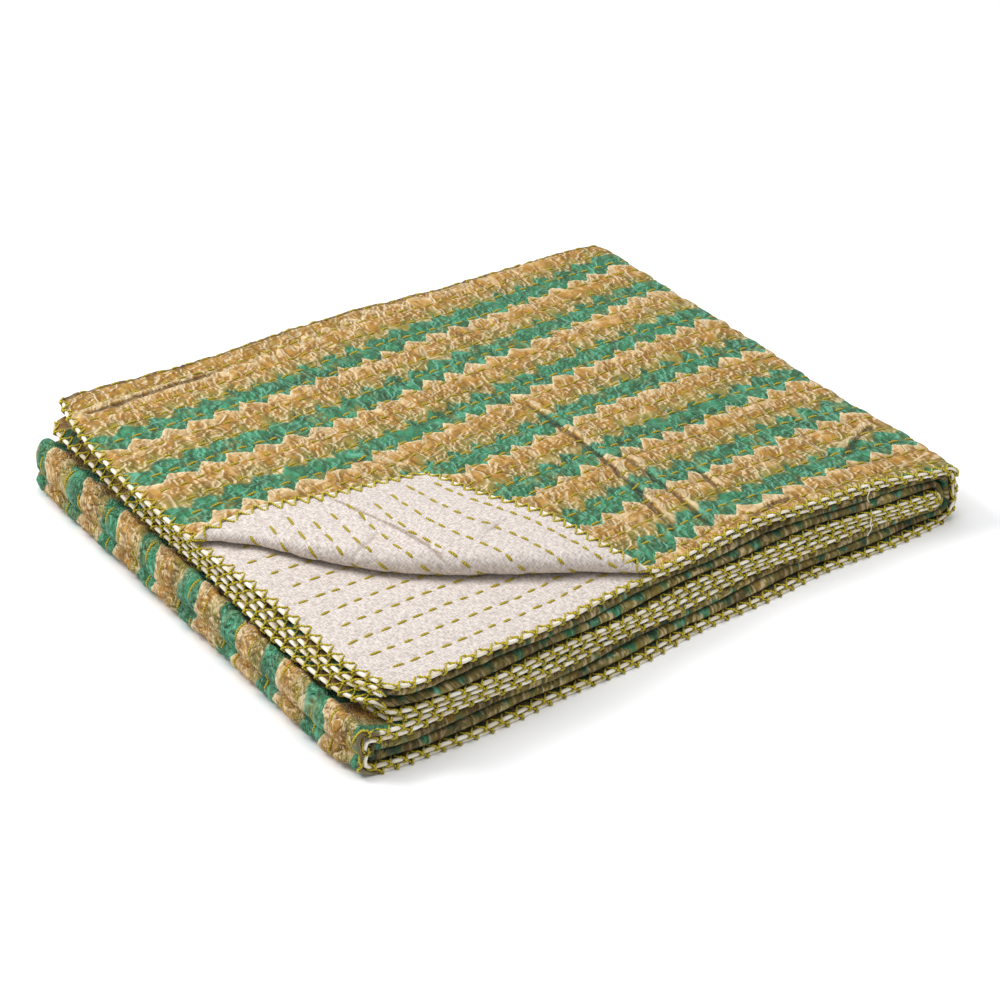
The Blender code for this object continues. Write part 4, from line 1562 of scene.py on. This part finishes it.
@dataclass(frozen=True)
class BackingCotton:
    """Plain beige cotton, slightly pink, with a fine speckled weave."""

    groups: ClothGroups
    threads: float = 9000.0
    crinkle_width: float = 0.10
    bump_distance: float = 0.0009
    light: Colour = (235, 226, 218)
    shade: Colour = (188, 175, 168)
    # Painted shade for the relief's hollows, recesses between plies and the crinkles' dark side.
    hollow: Colour = (0.58, 0.52, 0.46)

    def build(self) -> bpy.types.Material:
        """Build the material.

        Returns:
            The finished material.
        """
        material, nodes, shader = new_material("backing_cotton", 0.88, 0.10)
        place = nodes.cloth_place()
        weave = self.groups.use(nodes, self.groups.weave_tree, place, Threads=self.threads)
        crinkle = self.groups.use(nodes, self.groups.crinkle_tree, place, Width=self.crinkle_width)
        speckle = nodes.noise(place, 900.0, 900.0, detail=2.0, rough=0.7)
        fleck = nodes.times_plus(speckle, 0.6, nodes.times(weave.outputs["Fleck"], 0.5))
        colour = nodes.mix(nodes.ramp(fleck, 0.25, 0.80), self.shade, self.light)
        # Painted shade in the relief's hollows, stitch-row dimples, crease troughs and between plies, and on
        # the crinkles' dark side.
        hollow = nodes.times(nodes.ramp(nodes.relief(), -0.6, -2.2), 0.90)
        colour = nodes.darken(hollow, colour, self.hollow)
        colour = nodes.darken(nodes.times(crinkle.outputs["PaintedShade"], 0.22), colour, self.hollow)
        nodes.feed(shader.inputs["Base Color"], colour)
        height = nodes.times(weave.outputs["Height"], 0.30)
        nodes.bump(shader, nodes.times_plus(crinkle.outputs["Height"], 0.35, height), 0.7, self.bump_distance)
        return material


@dataclass(frozen=True)
class TwistedThread:
    """Soft cotton thread of two strands, twisted along its length."""

    name: str
    # The thread's colour, painted lighter on each strand's crown and darker in the groove between strands.
    light: Colour
    dark: Colour
    twist_pitch: float = 0.0016
    # Painted shade read from the piece's relief: between hem beads, on the roll's flanks and at the left
    # bend.
    hollow: Colour = (0.20, 0.17, 0.09)

    def build(self) -> bpy.types.Material:
        """Build the material: slanting bands of painted light and shade, a sine of the place along plus the
        place around.

        Returns:
            The finished material.
        """
        material, nodes, shader = new_material(self.name, 0.65, 0.20)
        along, around = nodes.split(nodes.uv())
        turn = nodes.times(along, 2.0 * math.pi * UV_METRES / self.twist_pitch)
        turn = nodes.times_plus(around, 2.0 * math.pi, turn)
        strand = nodes.times_plus(nodes.math("SINE", turn), 0.5, 0.5)
        # Painted light and shade of the twist, then painted shade from the relief attribute.
        colour = nodes.mix(strand, self.dark, self.light)
        colour = nodes.darken(nodes.ramp(nodes.relief(), -0.20, -1.50), colour, self.hollow)
        nodes.feed(shader.inputs["Base Color"], colour)
        nodes.bump(shader, strand, 0.6, 0.0003)
        return material


def make_piece(
    name: str, points: Array, faces: Array, uvs: Array, material: bpy.types.Material
) -> bpy.types.Object:
    """Make a smooth mesh object from arrays.

    Args:
        name: Object name.
        points: Vertex places, one row each.
        faces: Quads as rows of four vertex numbers.
        uvs: UV places of the vertices of each quad, shaped like faces with a last axis of 2.
        material: The material of all faces.

    Returns:
        The linked object.
    """
    points[:, 2] = np.maximum(points[:, 2], 0.0)
    mesh = bpy.data.meshes.new(name)
    mesh.vertices.add(len(points))
    mesh.vertices.foreach_set("co", points.astype(np.float32).ravel())
    mesh.loops.add(faces.size)
    mesh.loops.foreach_set("vertex_index", faces.astype(np.int32).ravel())
    mesh.polygons.add(len(faces))
    mesh.polygons.foreach_set("loop_start", np.arange(0, faces.size, 4, dtype=np.int32))
    layer = mesh.uv_layers.new(name=UV_NAME)
    layer.data.foreach_set("uv", uvs.astype(np.float32).ravel())
    mesh.update(calc_edges=True)
    mesh.shade_smooth()
    mesh.materials.append(material)
    piece = bpy.data.objects.new(name, mesh)
    bpy.context.scene.collection.objects.link(piece)
    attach(piece, "root")
    LOG.info("%s: %d points, %d quads", name, len(points), len(faces))
    return piece


def set_relief_shade(piece: bpy.types.Object, values: Array) -> None:
    """Keep a relief for each vertex, which the materials read to paint shade and highlights."""
    attribute = piece.data.attributes.new(RELIEF_SHADE_NAME, "FLOAT", "POINT")
    attribute.data.foreach_set("value", values.ravel().astype(np.float32))


def grid_quads(rows: int, columns: int) -> Array:
    """Number the quads of a grid, turning from its rows to its columns.

    Args:
        rows: Rows of points.
        columns: Points in a row.

    Returns:
        The quads, as rows of four point numbers.
    """
    index = np.arange(rows * columns).reshape(rows, columns)
    corners = (index[:-1, :-1], index[1:, :-1], index[1:, 1:], index[:-1, 1:])
    return np.stack(corners, axis=-1).reshape(-1, 4)


@dataclass
class ClothFace:
    """One face of the quilted cloth, as a folded grid of the whole flat sheet."""

    relief: QuiltingRelief
    face: Face
    name: str
    along_steps: tuple[tuple[float, int], ...]
    across_steps: tuple[tuple[float, int], ...]

    def lines(self, ends: Array, steps: tuple[tuple[float, int], ...]) -> Array:
        """Spread grid lines over the sheet, evenly within each step.

        Args:
            ends: Where the sheet's sections start and end.
            steps: Where each step ends, counted in sections, and its number of lines.

        Returns:
            Distances of the lines.
        """
        stops = np.arange(len(ends), dtype=float)
        lines = [np.array([0.0])]
        start = 0.0
        for end, count in steps:
            lines.append(np.interp(np.linspace(start, end, count + 1)[1:], stops, ends))
            start = end
        return np.concatenate(lines)

    def build(self, material: bpy.types.Material) -> bpy.types.Object:
        """Build the face's mesh.

        Args:
            material: The face's material.

        Returns:
            The linked object.
        """
        fold = self.relief.folding
        along = self.lines(fold.along_ends, self.along_steps)
        across = self.lines(fold.across_ends, self.across_steps)
        faces = grid_quads(len(along), len(across))
        if self.face is Face.BACKING:
            faces = faces[:, ::-1]
        along, across = [grid.ravel() for grid in np.meshgrid(along, across, indexing="ij")]
        points = self.relief.surface(along, across, self.face)
        flat = np.stack((along, across), axis=-1) / UV_METRES
        piece = make_piece(self.name, points, faces, flat[faces], material)
        # The tone carries the painted shade and highlights that the materials read.
        set_relief_shade(piece, self.relief.tone(along, across, self.face))
        return piece


def tube_mesh(paths: Array, ups: Array, wide: Array, tall: Array, sides: int) -> tuple[Array, Array, Array]:
    """Carry an ellipse along many paths at once: a ring round each point of a path.

    Args:
        paths: Path points, shaped (paths, points, 3).
        ups: Up vectors, shaped like paths.
        wide: Half width of each path point.
        tall: Half height of each path point.
        sides: Points in a ring.

    Returns:
        Points, quads, and the UV places of the quads' corners.
    """
    count, steps, _ = paths.shape
    forward = unit(np.gradient(paths, axis=1))
    side = unit(np.cross(forward, ups))
    up = np.cross(side, forward)
    angles = np.linspace(0.0, 2.0 * np.pi, sides, endpoint=False)
    points = (paths[:, :, None, :] + rings(side, up, wide, tall, angles)).reshape(-1, 3)
    index = np.arange(count * steps * sides).reshape(count, steps, sides)
    following = np.roll(index, -1, axis=2)
    corners = (index[:, :-1], index[:, 1:], following[:, 1:], following[:, :-1])
    faces = np.stack(corners, axis=-1).reshape(-1, 4)[:, ::-1]
    lengths = np.linalg.norm(np.diff(paths, axis=1), axis=-1)
    reached = np.concatenate((np.zeros((count, 1)), np.cumsum(lengths, axis=1)), axis=1)
    around = np.arange(sides) / sides
    u = np.broadcast_to(reached[..., None], index.shape) / UV_METRES
    v = np.broadcast_to(around, index.shape)
    low = np.stack((u, v), axis=-1)
    high = np.stack((u, v + 1.0 / sides), axis=-1)
    places = np.stack((low[:, :-1], low[:, 1:], high[:, 1:], high[:, :-1]), axis=3)
    return points, faces, places.reshape(-1, 4, 2)[:, ::-1]


@dataclass
class RunningStitches:
    """Rows of running stitch on one face, as one mesh of short thread loops."""

    relief: QuiltingRelief
    face: Face
    name: str
    regions: tuple[tuple[float, float, float, float], ...]
    period: float = 0.0112
    length: float = 0.0090
    half_width: float = 0.00098
    half_height: float = 0.00070
    rings: int = 6
    sides: int = 6
    seed: int = 41
    hem_gap: float = 0.006
    stagger: float = 0.37
    sizes: tuple[float, float] = (0.78, 1.12)
    tilt: float = 0.0007
    sunk: float = 0.00060
    rise: float = 0.00100
    rise_power: float = 0.6
    end_size: float = 0.35
    tip_size: float = 0.02
    fold_gap: float = 0.001
    bare_reach: float = 0.035

    def starts(self) -> tuple[Array, Array]:
        """Spread stitches over the regions that show.

        Returns:
            The along start and the row number of each stitch.
        """
        fold = self.relief.folding
        begins, numbers = [], []
        for first_along, last_along, first_across, last_across in self.regions:
            first = math.ceil((first_across - self.relief.row_start) / self.relief.row_pitch)
            last = math.floor((last_across - self.relief.row_start) / self.relief.row_pitch)
            rows = np.arange(first, last + 1)
            steps = np.arange(int((last_along - first_along) / self.period) + 1)
            row, step = np.meshgrid(rows, steps, indexing="ij")
            shift = 0.5 * self.period * (self.face is Face.BACKING)
            begin = first_along + (step + self.stagger * (row % 3)) * self.period + shift
            keep = begin > self.hem_gap
            keep = keep & (begin + self.length < min(last_along, fold.length - self.hem_gap))
            begins.append(begin[keep])
            numbers.append(row[keep])
        return np.concatenate(begins), np.concatenate(numbers).astype(float)

    def shown(self, along: Array, across: Array) -> Array:
        """Tell which stitches can be seen.

        The print's lie where the corner isn't turned, the backing's on the flap and the ply it bares.

        Args:
            along: Distance from the first short edge.
            across: Distance from the first long edge.

        Returns:
            Whether each stitch is seen.
        """
        fold = self.relief.folding
        x, y, _ = fold.plan(along, across)
        past = fold.past_fold(x, y)[0]
        top = fold.in_top_ply(along, across)
        if self.face is Face.PRINT:
            return ~top | (past < -self.fold_gap)
        return (top & (past > self.fold_gap)) | (~top & (past > -self.bare_reach))

    def build(self, material: bpy.types.Material) -> bpy.types.Object:
        """Build the stitches: each dips into the cloth at its ends and rises by a sine between.

        Args:
            material: Thread material.

        Returns:
            The linked object.
        """
        begin, row = self.starts()
        keep = self.shown(begin + 0.5 * self.length, self.relief.row_across(row, begin))
        begin, row = begin[keep], row[keep]
        random = np.random.default_rng(self.seed)
        size = self.length * random.uniform(*self.sizes, len(begin))
        tilt = random.uniform(-self.tilt, self.tilt, (2, len(begin)))
        share = np.linspace(0.0, 1.0, self.rings)
        along = begin[:, None] + size[:, None] * share
        across = self.relief.row_across(row[:, None] + 0.0 * along, along)
        across = across + tilt[0][:, None] + (tilt[1] - tilt[0])[:, None] * share
        arch = np.sin(np.pi * share)
        lift = -self.sunk + self.rise * arch**self.rise_power
        paths = self.relief.surface(along, across, self.face, np.broadcast_to(lift, along.shape))
        ups = self.face.value * self.relief.folding.normals(along, across)
        body = np.broadcast_to(self.end_size + (1.0 - self.end_size) * arch**0.5, along.shape)
        body = np.where((share == 0.0) | (share == 1.0), self.tip_size, body)
        tubes = tube_mesh(paths, ups, self.half_width * body, self.half_height * body, self.sides)
        return make_piece(self.name, *tubes, material)


@dataclass
class RolledHem:
    """The rolled edge all round the sheet, and the overcast thread that wraps it."""

    relief: QuiltingRelief
    corner: float = 0.0020
    roll_share: float = 0.34
    bead_pitch: float = 0.0110
    stitch_reach: float = 0.0045
    thread_radius: float = 0.00068
    turn_points: int = 12
    thread_sides: int = 4
    wobble: float = 0.0006
    wobble_step: float = 1.3
    bead_rings: int = 5
    roll_sides: int = 8
    bead_size: tuple[float, float] = (0.80, 0.28)
    roll_inset: float = 0.3
    gap_shade: float = 1.5
    side_shade: float = 0.50
    bend_shade: float = 1.2
    wrap_parts: tuple[float, ...] = (0.0, 0.16, 0.32, 0.94, 1.0)
    wrap_inward: tuple[float, ...] = (-0.78, -0.30, 0.10, 1.0, 1.0)
    wrap_widest: float = 0.60
    rise_parts: tuple[float, ...] = (0.0, 0.16, 0.32, 0.55, 0.94, 1.0)
    rise_heights: tuple[float, ...] = (0.0, 0.86, 1.0, 0.0, 0.0, -1.0)
    rise_start: float = 0.9
    outward_lean: float = 0.4

    def path(self, distance: Array) -> tuple[Array, Array, Array, Array]:
        """Follow the sheet's border: four straight edges joined by quarter circles.

        Args:
            distance: Distance round the border, from the start of the first long edge.

        Returns:
            Along, across, and the outward direction in those two.
        """
        fold = self.relief.folding
        arc = 0.5 * np.pi * self.corner
        straight = (fold.length - 2.0 * self.corner, fold.width - 2.0 * self.corner)
        ends = np.cumsum([0.0, straight[0], arc, straight[1], arc, straight[0], arc, straight[1], arc])
        place = np.mod(distance, ends[-1])
        part = np.clip(np.searchsorted(ends, place, side="right") - 1, 0, 7)
        into = place - ends[part]
        side = part // 2
        line = part % 2 == 0
        turn = np.where(line, 0.0, into / self.corner) + side * 0.5 * np.pi
        out_along = np.sin(turn)
        out_across = -np.cos(turn)
        near, far_along, far_across = self.corner, fold.length - self.corner, fold.width - self.corner
        start_along = np.choose(side, [near, far_along, far_along, near])
        start_across = np.choose(side, [near, near, far_across, far_across])
        centre_along = np.choose(side, [far_along, far_along, near, near])
        centre_across = np.choose(side, [near, far_across, far_across, near])
        along = np.where(line, start_along + into * np.cos(turn), centre_along) + self.corner * out_along
        across = np.where(line, start_across + into * np.sin(turn), centre_across) + self.corner * out_across
        return along, across, out_along, out_across

    def total(self) -> float:
        """Length of the border path."""
        fold = self.relief.folding
        straight = 2.0 * (fold.length + fold.width - 4.0 * self.corner)
        return straight + 2.0 * np.pi * self.corner

    def frames(self, distance: Array) -> tuple[Array, Array, Array, Array]:
        """Place the border in the part's frame.

        Args:
            distance: Distance round the border.

        Returns:
            Its points, print normals, outward vectors and roll radii.
        """
        fold = self.relief.folding
        along, across, out_along, out_across = self.path(distance)
        edge = fold.middle(along, across)
        inner = fold.middle(along - fold.step * out_along, across - fold.step * out_across)
        normals = fold.normals(along, across)
        outward = unit(edge - inner)
        radius = self.roll_share * fold.pitch(edge[..., 0] + fold.centre_x)
        return edge, normals, outward, radius

    def build_roll(self, material: bpy.types.Material) -> bpy.types.Object:
        """Build the roll: a closed tube that swells into a bead between overcast stitches.

        Args:
            material: Hem material.

        Returns:
            The linked object.
        """
        total = self.total()
        beads = round(total / self.bead_pitch)
        count = beads * self.bead_rings
        distance = np.linspace(0.0, total, count, endpoint=False)
        edge, normals, outward, radius = self.frames(distance)
        bead = np.abs(np.sin(np.pi * distance * beads / total))
        radius = radius * (self.bead_size[0] + self.bead_size[1] * bead)
        angles = np.linspace(0.0, 2.0 * np.pi, self.roll_sides, endpoint=False)
        middle = edge[:, None, :] - self.roll_inset * (radius[:, None] * outward)[:, None, :]
        points = middle + rings(outward, normals, radius, radius, angles)
        index = np.arange(count * self.roll_sides).reshape(count, self.roll_sides)
        ahead = np.roll(index, -1, axis=0)
        corners = (index, ahead, np.roll(ahead, -1, axis=1), np.roll(index, -1, axis=1))
        faces = np.stack(corners, axis=-1).reshape(-1, 4)
        u = np.broadcast_to((distance / total)[:, None], index.shape)
        v = np.broadcast_to(np.arange(self.roll_sides) / self.roll_sides, index.shape)
        next_u, next_v = u + 1.0 / count, v + 1.0 / self.roll_sides
        places = np.stack((u, v, next_u, v, next_u, next_v, u, next_v), axis=-1)
        roll = make_piece("rolled_hem", points.reshape(-1, 3), faces, places.reshape(-1, 4, 2), material)
        set_relief_shade(roll, -self.shade(distance, bead, angles))
        return roll

    def shade(self, distance: Array, bead: Array, angles: Array) -> Array:
        """Shade the roll: between beads, on its sides, and at the front of the left bend.

        Args:
            distance: Distance of each ring round the border.
            bead: Swelling of each ring, from 0 between beads to 1.
            angles: Angles of a ring's points, 0 outwards.

        Returns:
            How dark each point is, a row for each ring.
        """
        fold = self.relief.folding
        along, across, _, _ = self.path(distance)
        bent = self.relief.sections(along, across)[0] == Layer.LEFT_BEND
        bend = np.where(bent & (across < 0.5 * fold.width), self.bend_shade, 0.0)
        shade = (self.gap_shade * (1.0 - bead) ** 2)[:, None]
        return shade + self.side_shade * np.abs(np.sin(angles))[None, :] + bend[:, None]

    def build_overcast(self, material: bpy.types.Material) -> bpy.types.Object:
        """Build the overcast: two flattened helices that cross on the edge between the beads.

        Args:
            material: Thread material.

        Returns:
            The linked object.
        """
        total = self.total()
        turns = round(total / self.bead_pitch)
        step = np.arange(turns * self.turn_points + 1) / self.turn_points
        helices = []
        for direction, seed in ((1.0, 51), (-1.0, 52)):
            wobble = self.wobble * lattice_noise(step * self.wobble_step, step * 0.0, seed)
            helices.append(self.wrapped(direction * step * total / turns + wobble, 2.0 * np.pi * step))
        path, up = [np.stack(parts) for parts in zip(*helices)]
        size = np.full(path.shape[:2], self.thread_radius)
        return make_piece("overcast_thread", *tube_mesh(path, up, size, size, self.thread_sides), material)

    def wrapped(self, distance: Array, angle: Array) -> tuple[Array, Array]:
        """Wrap a thread round the hem: out over the roll, in along a face, through the cloth.

        Args:
            distance: Distance round the border.
            angle: Turn round the hem, 0 outside it and half a turn at the needle hole.

        Returns:
            Thread places, and vectors that point off the hem there.
        """
        fold = self.relief.folding
        along, across, out_along, out_across = self.path(distance)
        _, _, outward, radius = self.frames(distance)
        turn = np.mod(angle + np.pi, 2.0 * np.pi) - np.pi
        part = np.abs(turn) / np.pi
        over = radius + 0.6 * self.thread_radius
        inward = np.interp(part, self.wrap_parts, self.wrap_inward)
        inward = np.where(inward < 0.0, inward * over / self.wrap_widest, inward * self.stitch_reach)
        height = np.interp(part, self.rise_parts, self.rise_heights)
        inside, outside = np.maximum(inward, 0.0), np.maximum(-inward, 0.0)
        place = (along - inside * out_along, across - inside * out_across)
        flat = self.relief.half_thickness(*place) + 0.5 * self.thread_radius
        rise = np.where(height > 0.0, flat + (over - flat) * height, flat * (1.0 + height))
        first = self.rise_parts[1]
        rise = np.where(part < first, over * np.sin(0.5 * np.pi * part / first) * self.rise_start, rise)
        normals = fold.normals(*place)
        thread = fold.middle(*place) + outside[:, None] * outward + (np.sign(turn) * rise)[:, None] * normals
        return thread, unit(np.sign(turn + 1e-9)[:, None] * normals + self.outward_lean * outward)


@dataclass
class LooseTails:
    """Two short thread tails that hang from the front hems near the right end."""

    folding: QuiltFolding
    thread_radius: float = 0.00045
    droop: float = 0.0011
    along: tuple[float, ...] = (0.3838, 1.4792)
    length: tuple[float, ...] = (0.0150, 0.0120)
    phases: tuple[float, ...] = (0.0, 2.0)
    rings: int = 28
    sides: int = 6
    curl: float = 0.0016
    curl_turn: float = 9.0
    drift: tuple[float, float] = (-0.0012, -0.0010)
    clear: float = 0.0012
    start_height: float = 0.0008
    hang_power: float = 1.15

    def build(self, material: bpy.types.Material) -> bpy.types.Object:
        """Build the tails: tubes that leave a hem's edge, turn down and curl at the end.

        Args:
            material: Thread material.

        Returns:
            The linked object.
        """
        fold = self.folding
        edge = fold.middle(np.array(self.along), np.zeros(len(self.along)))
        share = np.linspace(0.0, 1.0, self.rings)[None, :]
        length = np.array(self.length)[:, None]
        curl = np.sin(self.curl_turn * share + np.array(self.phases)[:, None])
        x = edge[:, :1] + self.curl * curl * share + self.drift[0] * share
        drop = self.droop * np.sin(0.5 * np.pi * np.minimum(4.0 * share, 1.0))
        y = edge[:, 1:2] - self.clear - drop + self.drift[1] * share
        z = edge[:, 2:3] + self.start_height - length * share**self.hang_power
        path = np.stack((x, y, np.maximum(z, self.thread_radius)), axis=-1)
        up = np.broadcast_to(np.array([1.0, 0.0, 0.0]), path.shape)
        size = np.full(path.shape[:2], self.thread_radius)
        return make_piece("loose_tails", *tube_mesh(path, up, size, size, self.sides), material)


@dataclass
class Studio:
    """Pale floor, soft lights and the camera of the fitted view."""

    focal_pixels: float = 2635.0
    frame_pixels: float = 1000.0
    azimuth: float = -37.30
    elevation: float = 32.68
    roll: float = 2.0
    target: tuple[float, float, float] = (0.23, 0.18418, 0.05)
    distance: float = 1.70873
    offset: tuple[float, float] = (-0.00594, -0.04383)
    floor_half: float = 6.0
    floor_height: float = -0.0003
    floor_colour: Colour = (0.96, 0.96, 0.97)
    sky_colour: Colour = (0.97, 0.985, 1.0)
    sky_strength: float = 0.47

    @staticmethod
    def stand(name: str, data: bpy.types.ID, columns: Array) -> bpy.types.Object:
        """Add a camera or light, turned and placed by the columns of its matrix.

        Args:
            name: Object name.
            data: Camera or light data.
            columns: Right, up and back vectors, and the place.

        Returns:
            The linked object.
        """
        thing = bpy.data.objects.new(name, data)
        thing.matrix_world = Matrix([*columns.tolist(), [0.0, 0.0, 0.0, 1.0]])
        bpy.context.scene.collection.objects.link(thing)
        return thing

    def camera(self, folding: QuiltFolding) -> None:
        """Add the camera: back, right and up vectors from azimuth, elevation and roll.

        Args:
            folding: The folding, whose middle is the part's origin.
        """
        turn, tip, lean = (math.radians(x) for x in (self.azimuth, self.elevation, self.roll))
        back = np.array([math.sin(turn) * math.cos(tip), -math.cos(turn) * math.cos(tip), math.sin(tip)])
        right = np.array([math.cos(turn), math.sin(turn), 0.0])
        up = np.cross(back, right)
        level_right = math.cos(lean) * right + math.sin(lean) * up
        level_up = -math.sin(lean) * right + math.cos(lean) * up
        place = np.array(self.target) + back * self.distance
        place = place + level_right * self.offset[0] + level_up * self.offset[1]
        place = place - np.array([folding.centre_x, folding.centre_y, 0.0])
        data = bpy.data.cameras.new("camera")
        data.lens = data.sensor_width * self.focal_pixels / self.frame_pixels
        columns = np.column_stack((level_right, level_up, back, place))
        bpy.context.scene.camera = self.stand("camera", data, columns)

    def light(self, name: str, place: tuple[float, float, float], size: float, power: float) -> None:
        """Add an area light that faces the quilt.

        Args:
            name: Light's name.
            place: Where it stands, in metres.
            size: Side of its square.
            power: Power in watts.
        """
        data = bpy.data.lights.new(name, "AREA")
        data.size = size
        data.energy = power
        away = unit(np.array(place))
        side = unit(np.cross((0.0, 0.0, 1.0), away) + np.array([1e-6, 0.0, 0.0]))
        self.stand(name, data, np.column_stack((side, np.cross(away, side), away, place)))

    def build(self, folding: QuiltFolding) -> None:
        """Build the floor, world, lights and camera.

        Args:
            folding: The folding, whose middle is the part's origin.
        """
        half = self.floor_half
        corners = ((-half, -half), (half, -half), (half, half), (-half, half))
        mesh = bpy.data.meshes.new("floor")
        mesh.from_pydata([(x, y, self.floor_height) for x, y in corners], [], [(0, 1, 2, 3)])
        floor = bpy.data.objects.new("floor", mesh)
        material, _, shader = new_material("pale_floor", 0.95, 0.0)
        shader.inputs["Base Color"].default_value = (*self.floor_colour, 1.0)
        mesh.materials.append(material)
        bpy.context.scene.collection.objects.link(floor)
        world = bpy.data.worlds.new("studio")
        world.use_nodes = True
        sky = world.node_tree.nodes["Background"]
        sky.inputs["Color"].default_value = (*self.sky_colour, 1.0)
        sky.inputs["Strength"].default_value = self.sky_strength
        bpy.context.scene.world = world
        bpy.context.scene.view_settings.view_transform = "Standard"
        self.light("overhead", (-0.15, 0.10, 3.0), 2.4, 54.0)
        self.light("key", (-1.3, 1.1, 1.9), 0.8, 28.0)
        self.camera(folding)


def main() -> None:
    """Build the quilt's cloth, hem and thread, then the studio."""
    logging.basicConfig(level=logging.INFO, format="%(name)s %(message)s")
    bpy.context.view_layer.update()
    folding = QuiltFolding()
    relief = QuiltingRelief(folding)
    groups = ClothGroups()
    along_steps = ((1, 220), (2, 18), (3, 40), (4, 28), (5, 36), (6, 8), (6.88, 20), (7, 16))
    across_steps = ((1, 200), (2, 9), (3, 10), (4, 7), (5, 10), (6, 5), (7, 12))
    printed = ClothFace(relief, Face.PRINT, "printed_face", along_steps, across_steps)
    printed_face = printed.build(PrintedCotton(groups).build())
    along_steps = ((0.56, 122), (1, 26), (2, 12), (3, 40), (4, 20), (5, 40), (6, 8), (7, 40))
    across_steps = ((0.56, 106), (1, 14), (2, 5), (3, 10), (4, 6), (5, 10), (6, 8), (6.46, 12), (7, 104))
    backing = ClothFace(relief, Face.BACKING, "backing_face", along_steps, across_steps)
    backing_face = backing.build(BackingCotton(groups).build())
    hem = RolledHem(relief)
    # Each thread's two colours are its painted light and painted shade round the twist.
    cream = TwistedThread("hem_cotton", (252, 247, 234), (226, 214, 186), 0.0110)
    green = TwistedThread("overcast_cotton", (214, 196, 40), (158, 140, 12))
    olive = TwistedThread("stitch_cotton", (192, 172, 34), (142, 122, 12))
    cream_cotton = cream.build()
    roll = hem.build_roll(cream_cotton)
    tails = LooseTails(folding).build(cream_cotton)
    overcast = hem.build_overcast(green.build())
    olive_thread = olive.build()
    margin = 0.010
    top = (0.0, folding.along_ends[2], 0.0, folding.across_ends[2])
    lobes = (folding.along_ends[2], folding.along_ends[4], 0.0, folding.across_ends[1])
    front = (0.0, folding.length, folding.across_ends[3] - margin, folding.across_ends[4] + margin)
    print_stitches = RunningStitches(relief, Face.PRINT, "print_stitches", (top, lobes, front))
    front_thread = print_stitches.build(olive_thread)
    bare_along, bare_across = 0.25, 0.21
    flap = (0.0, bare_along, 0.0, bare_across)
    bare = (0.0, bare_along, folding.width - bare_across, folding.width)
    back_stitches = RunningStitches(relief, Face.BACKING, "backing_stitches", (flap, bare))
    back_thread = back_stitches.build(olive_thread)
    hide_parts("quilt")
    Studio().build(folding)


if __name__ == "__main__":
    main()
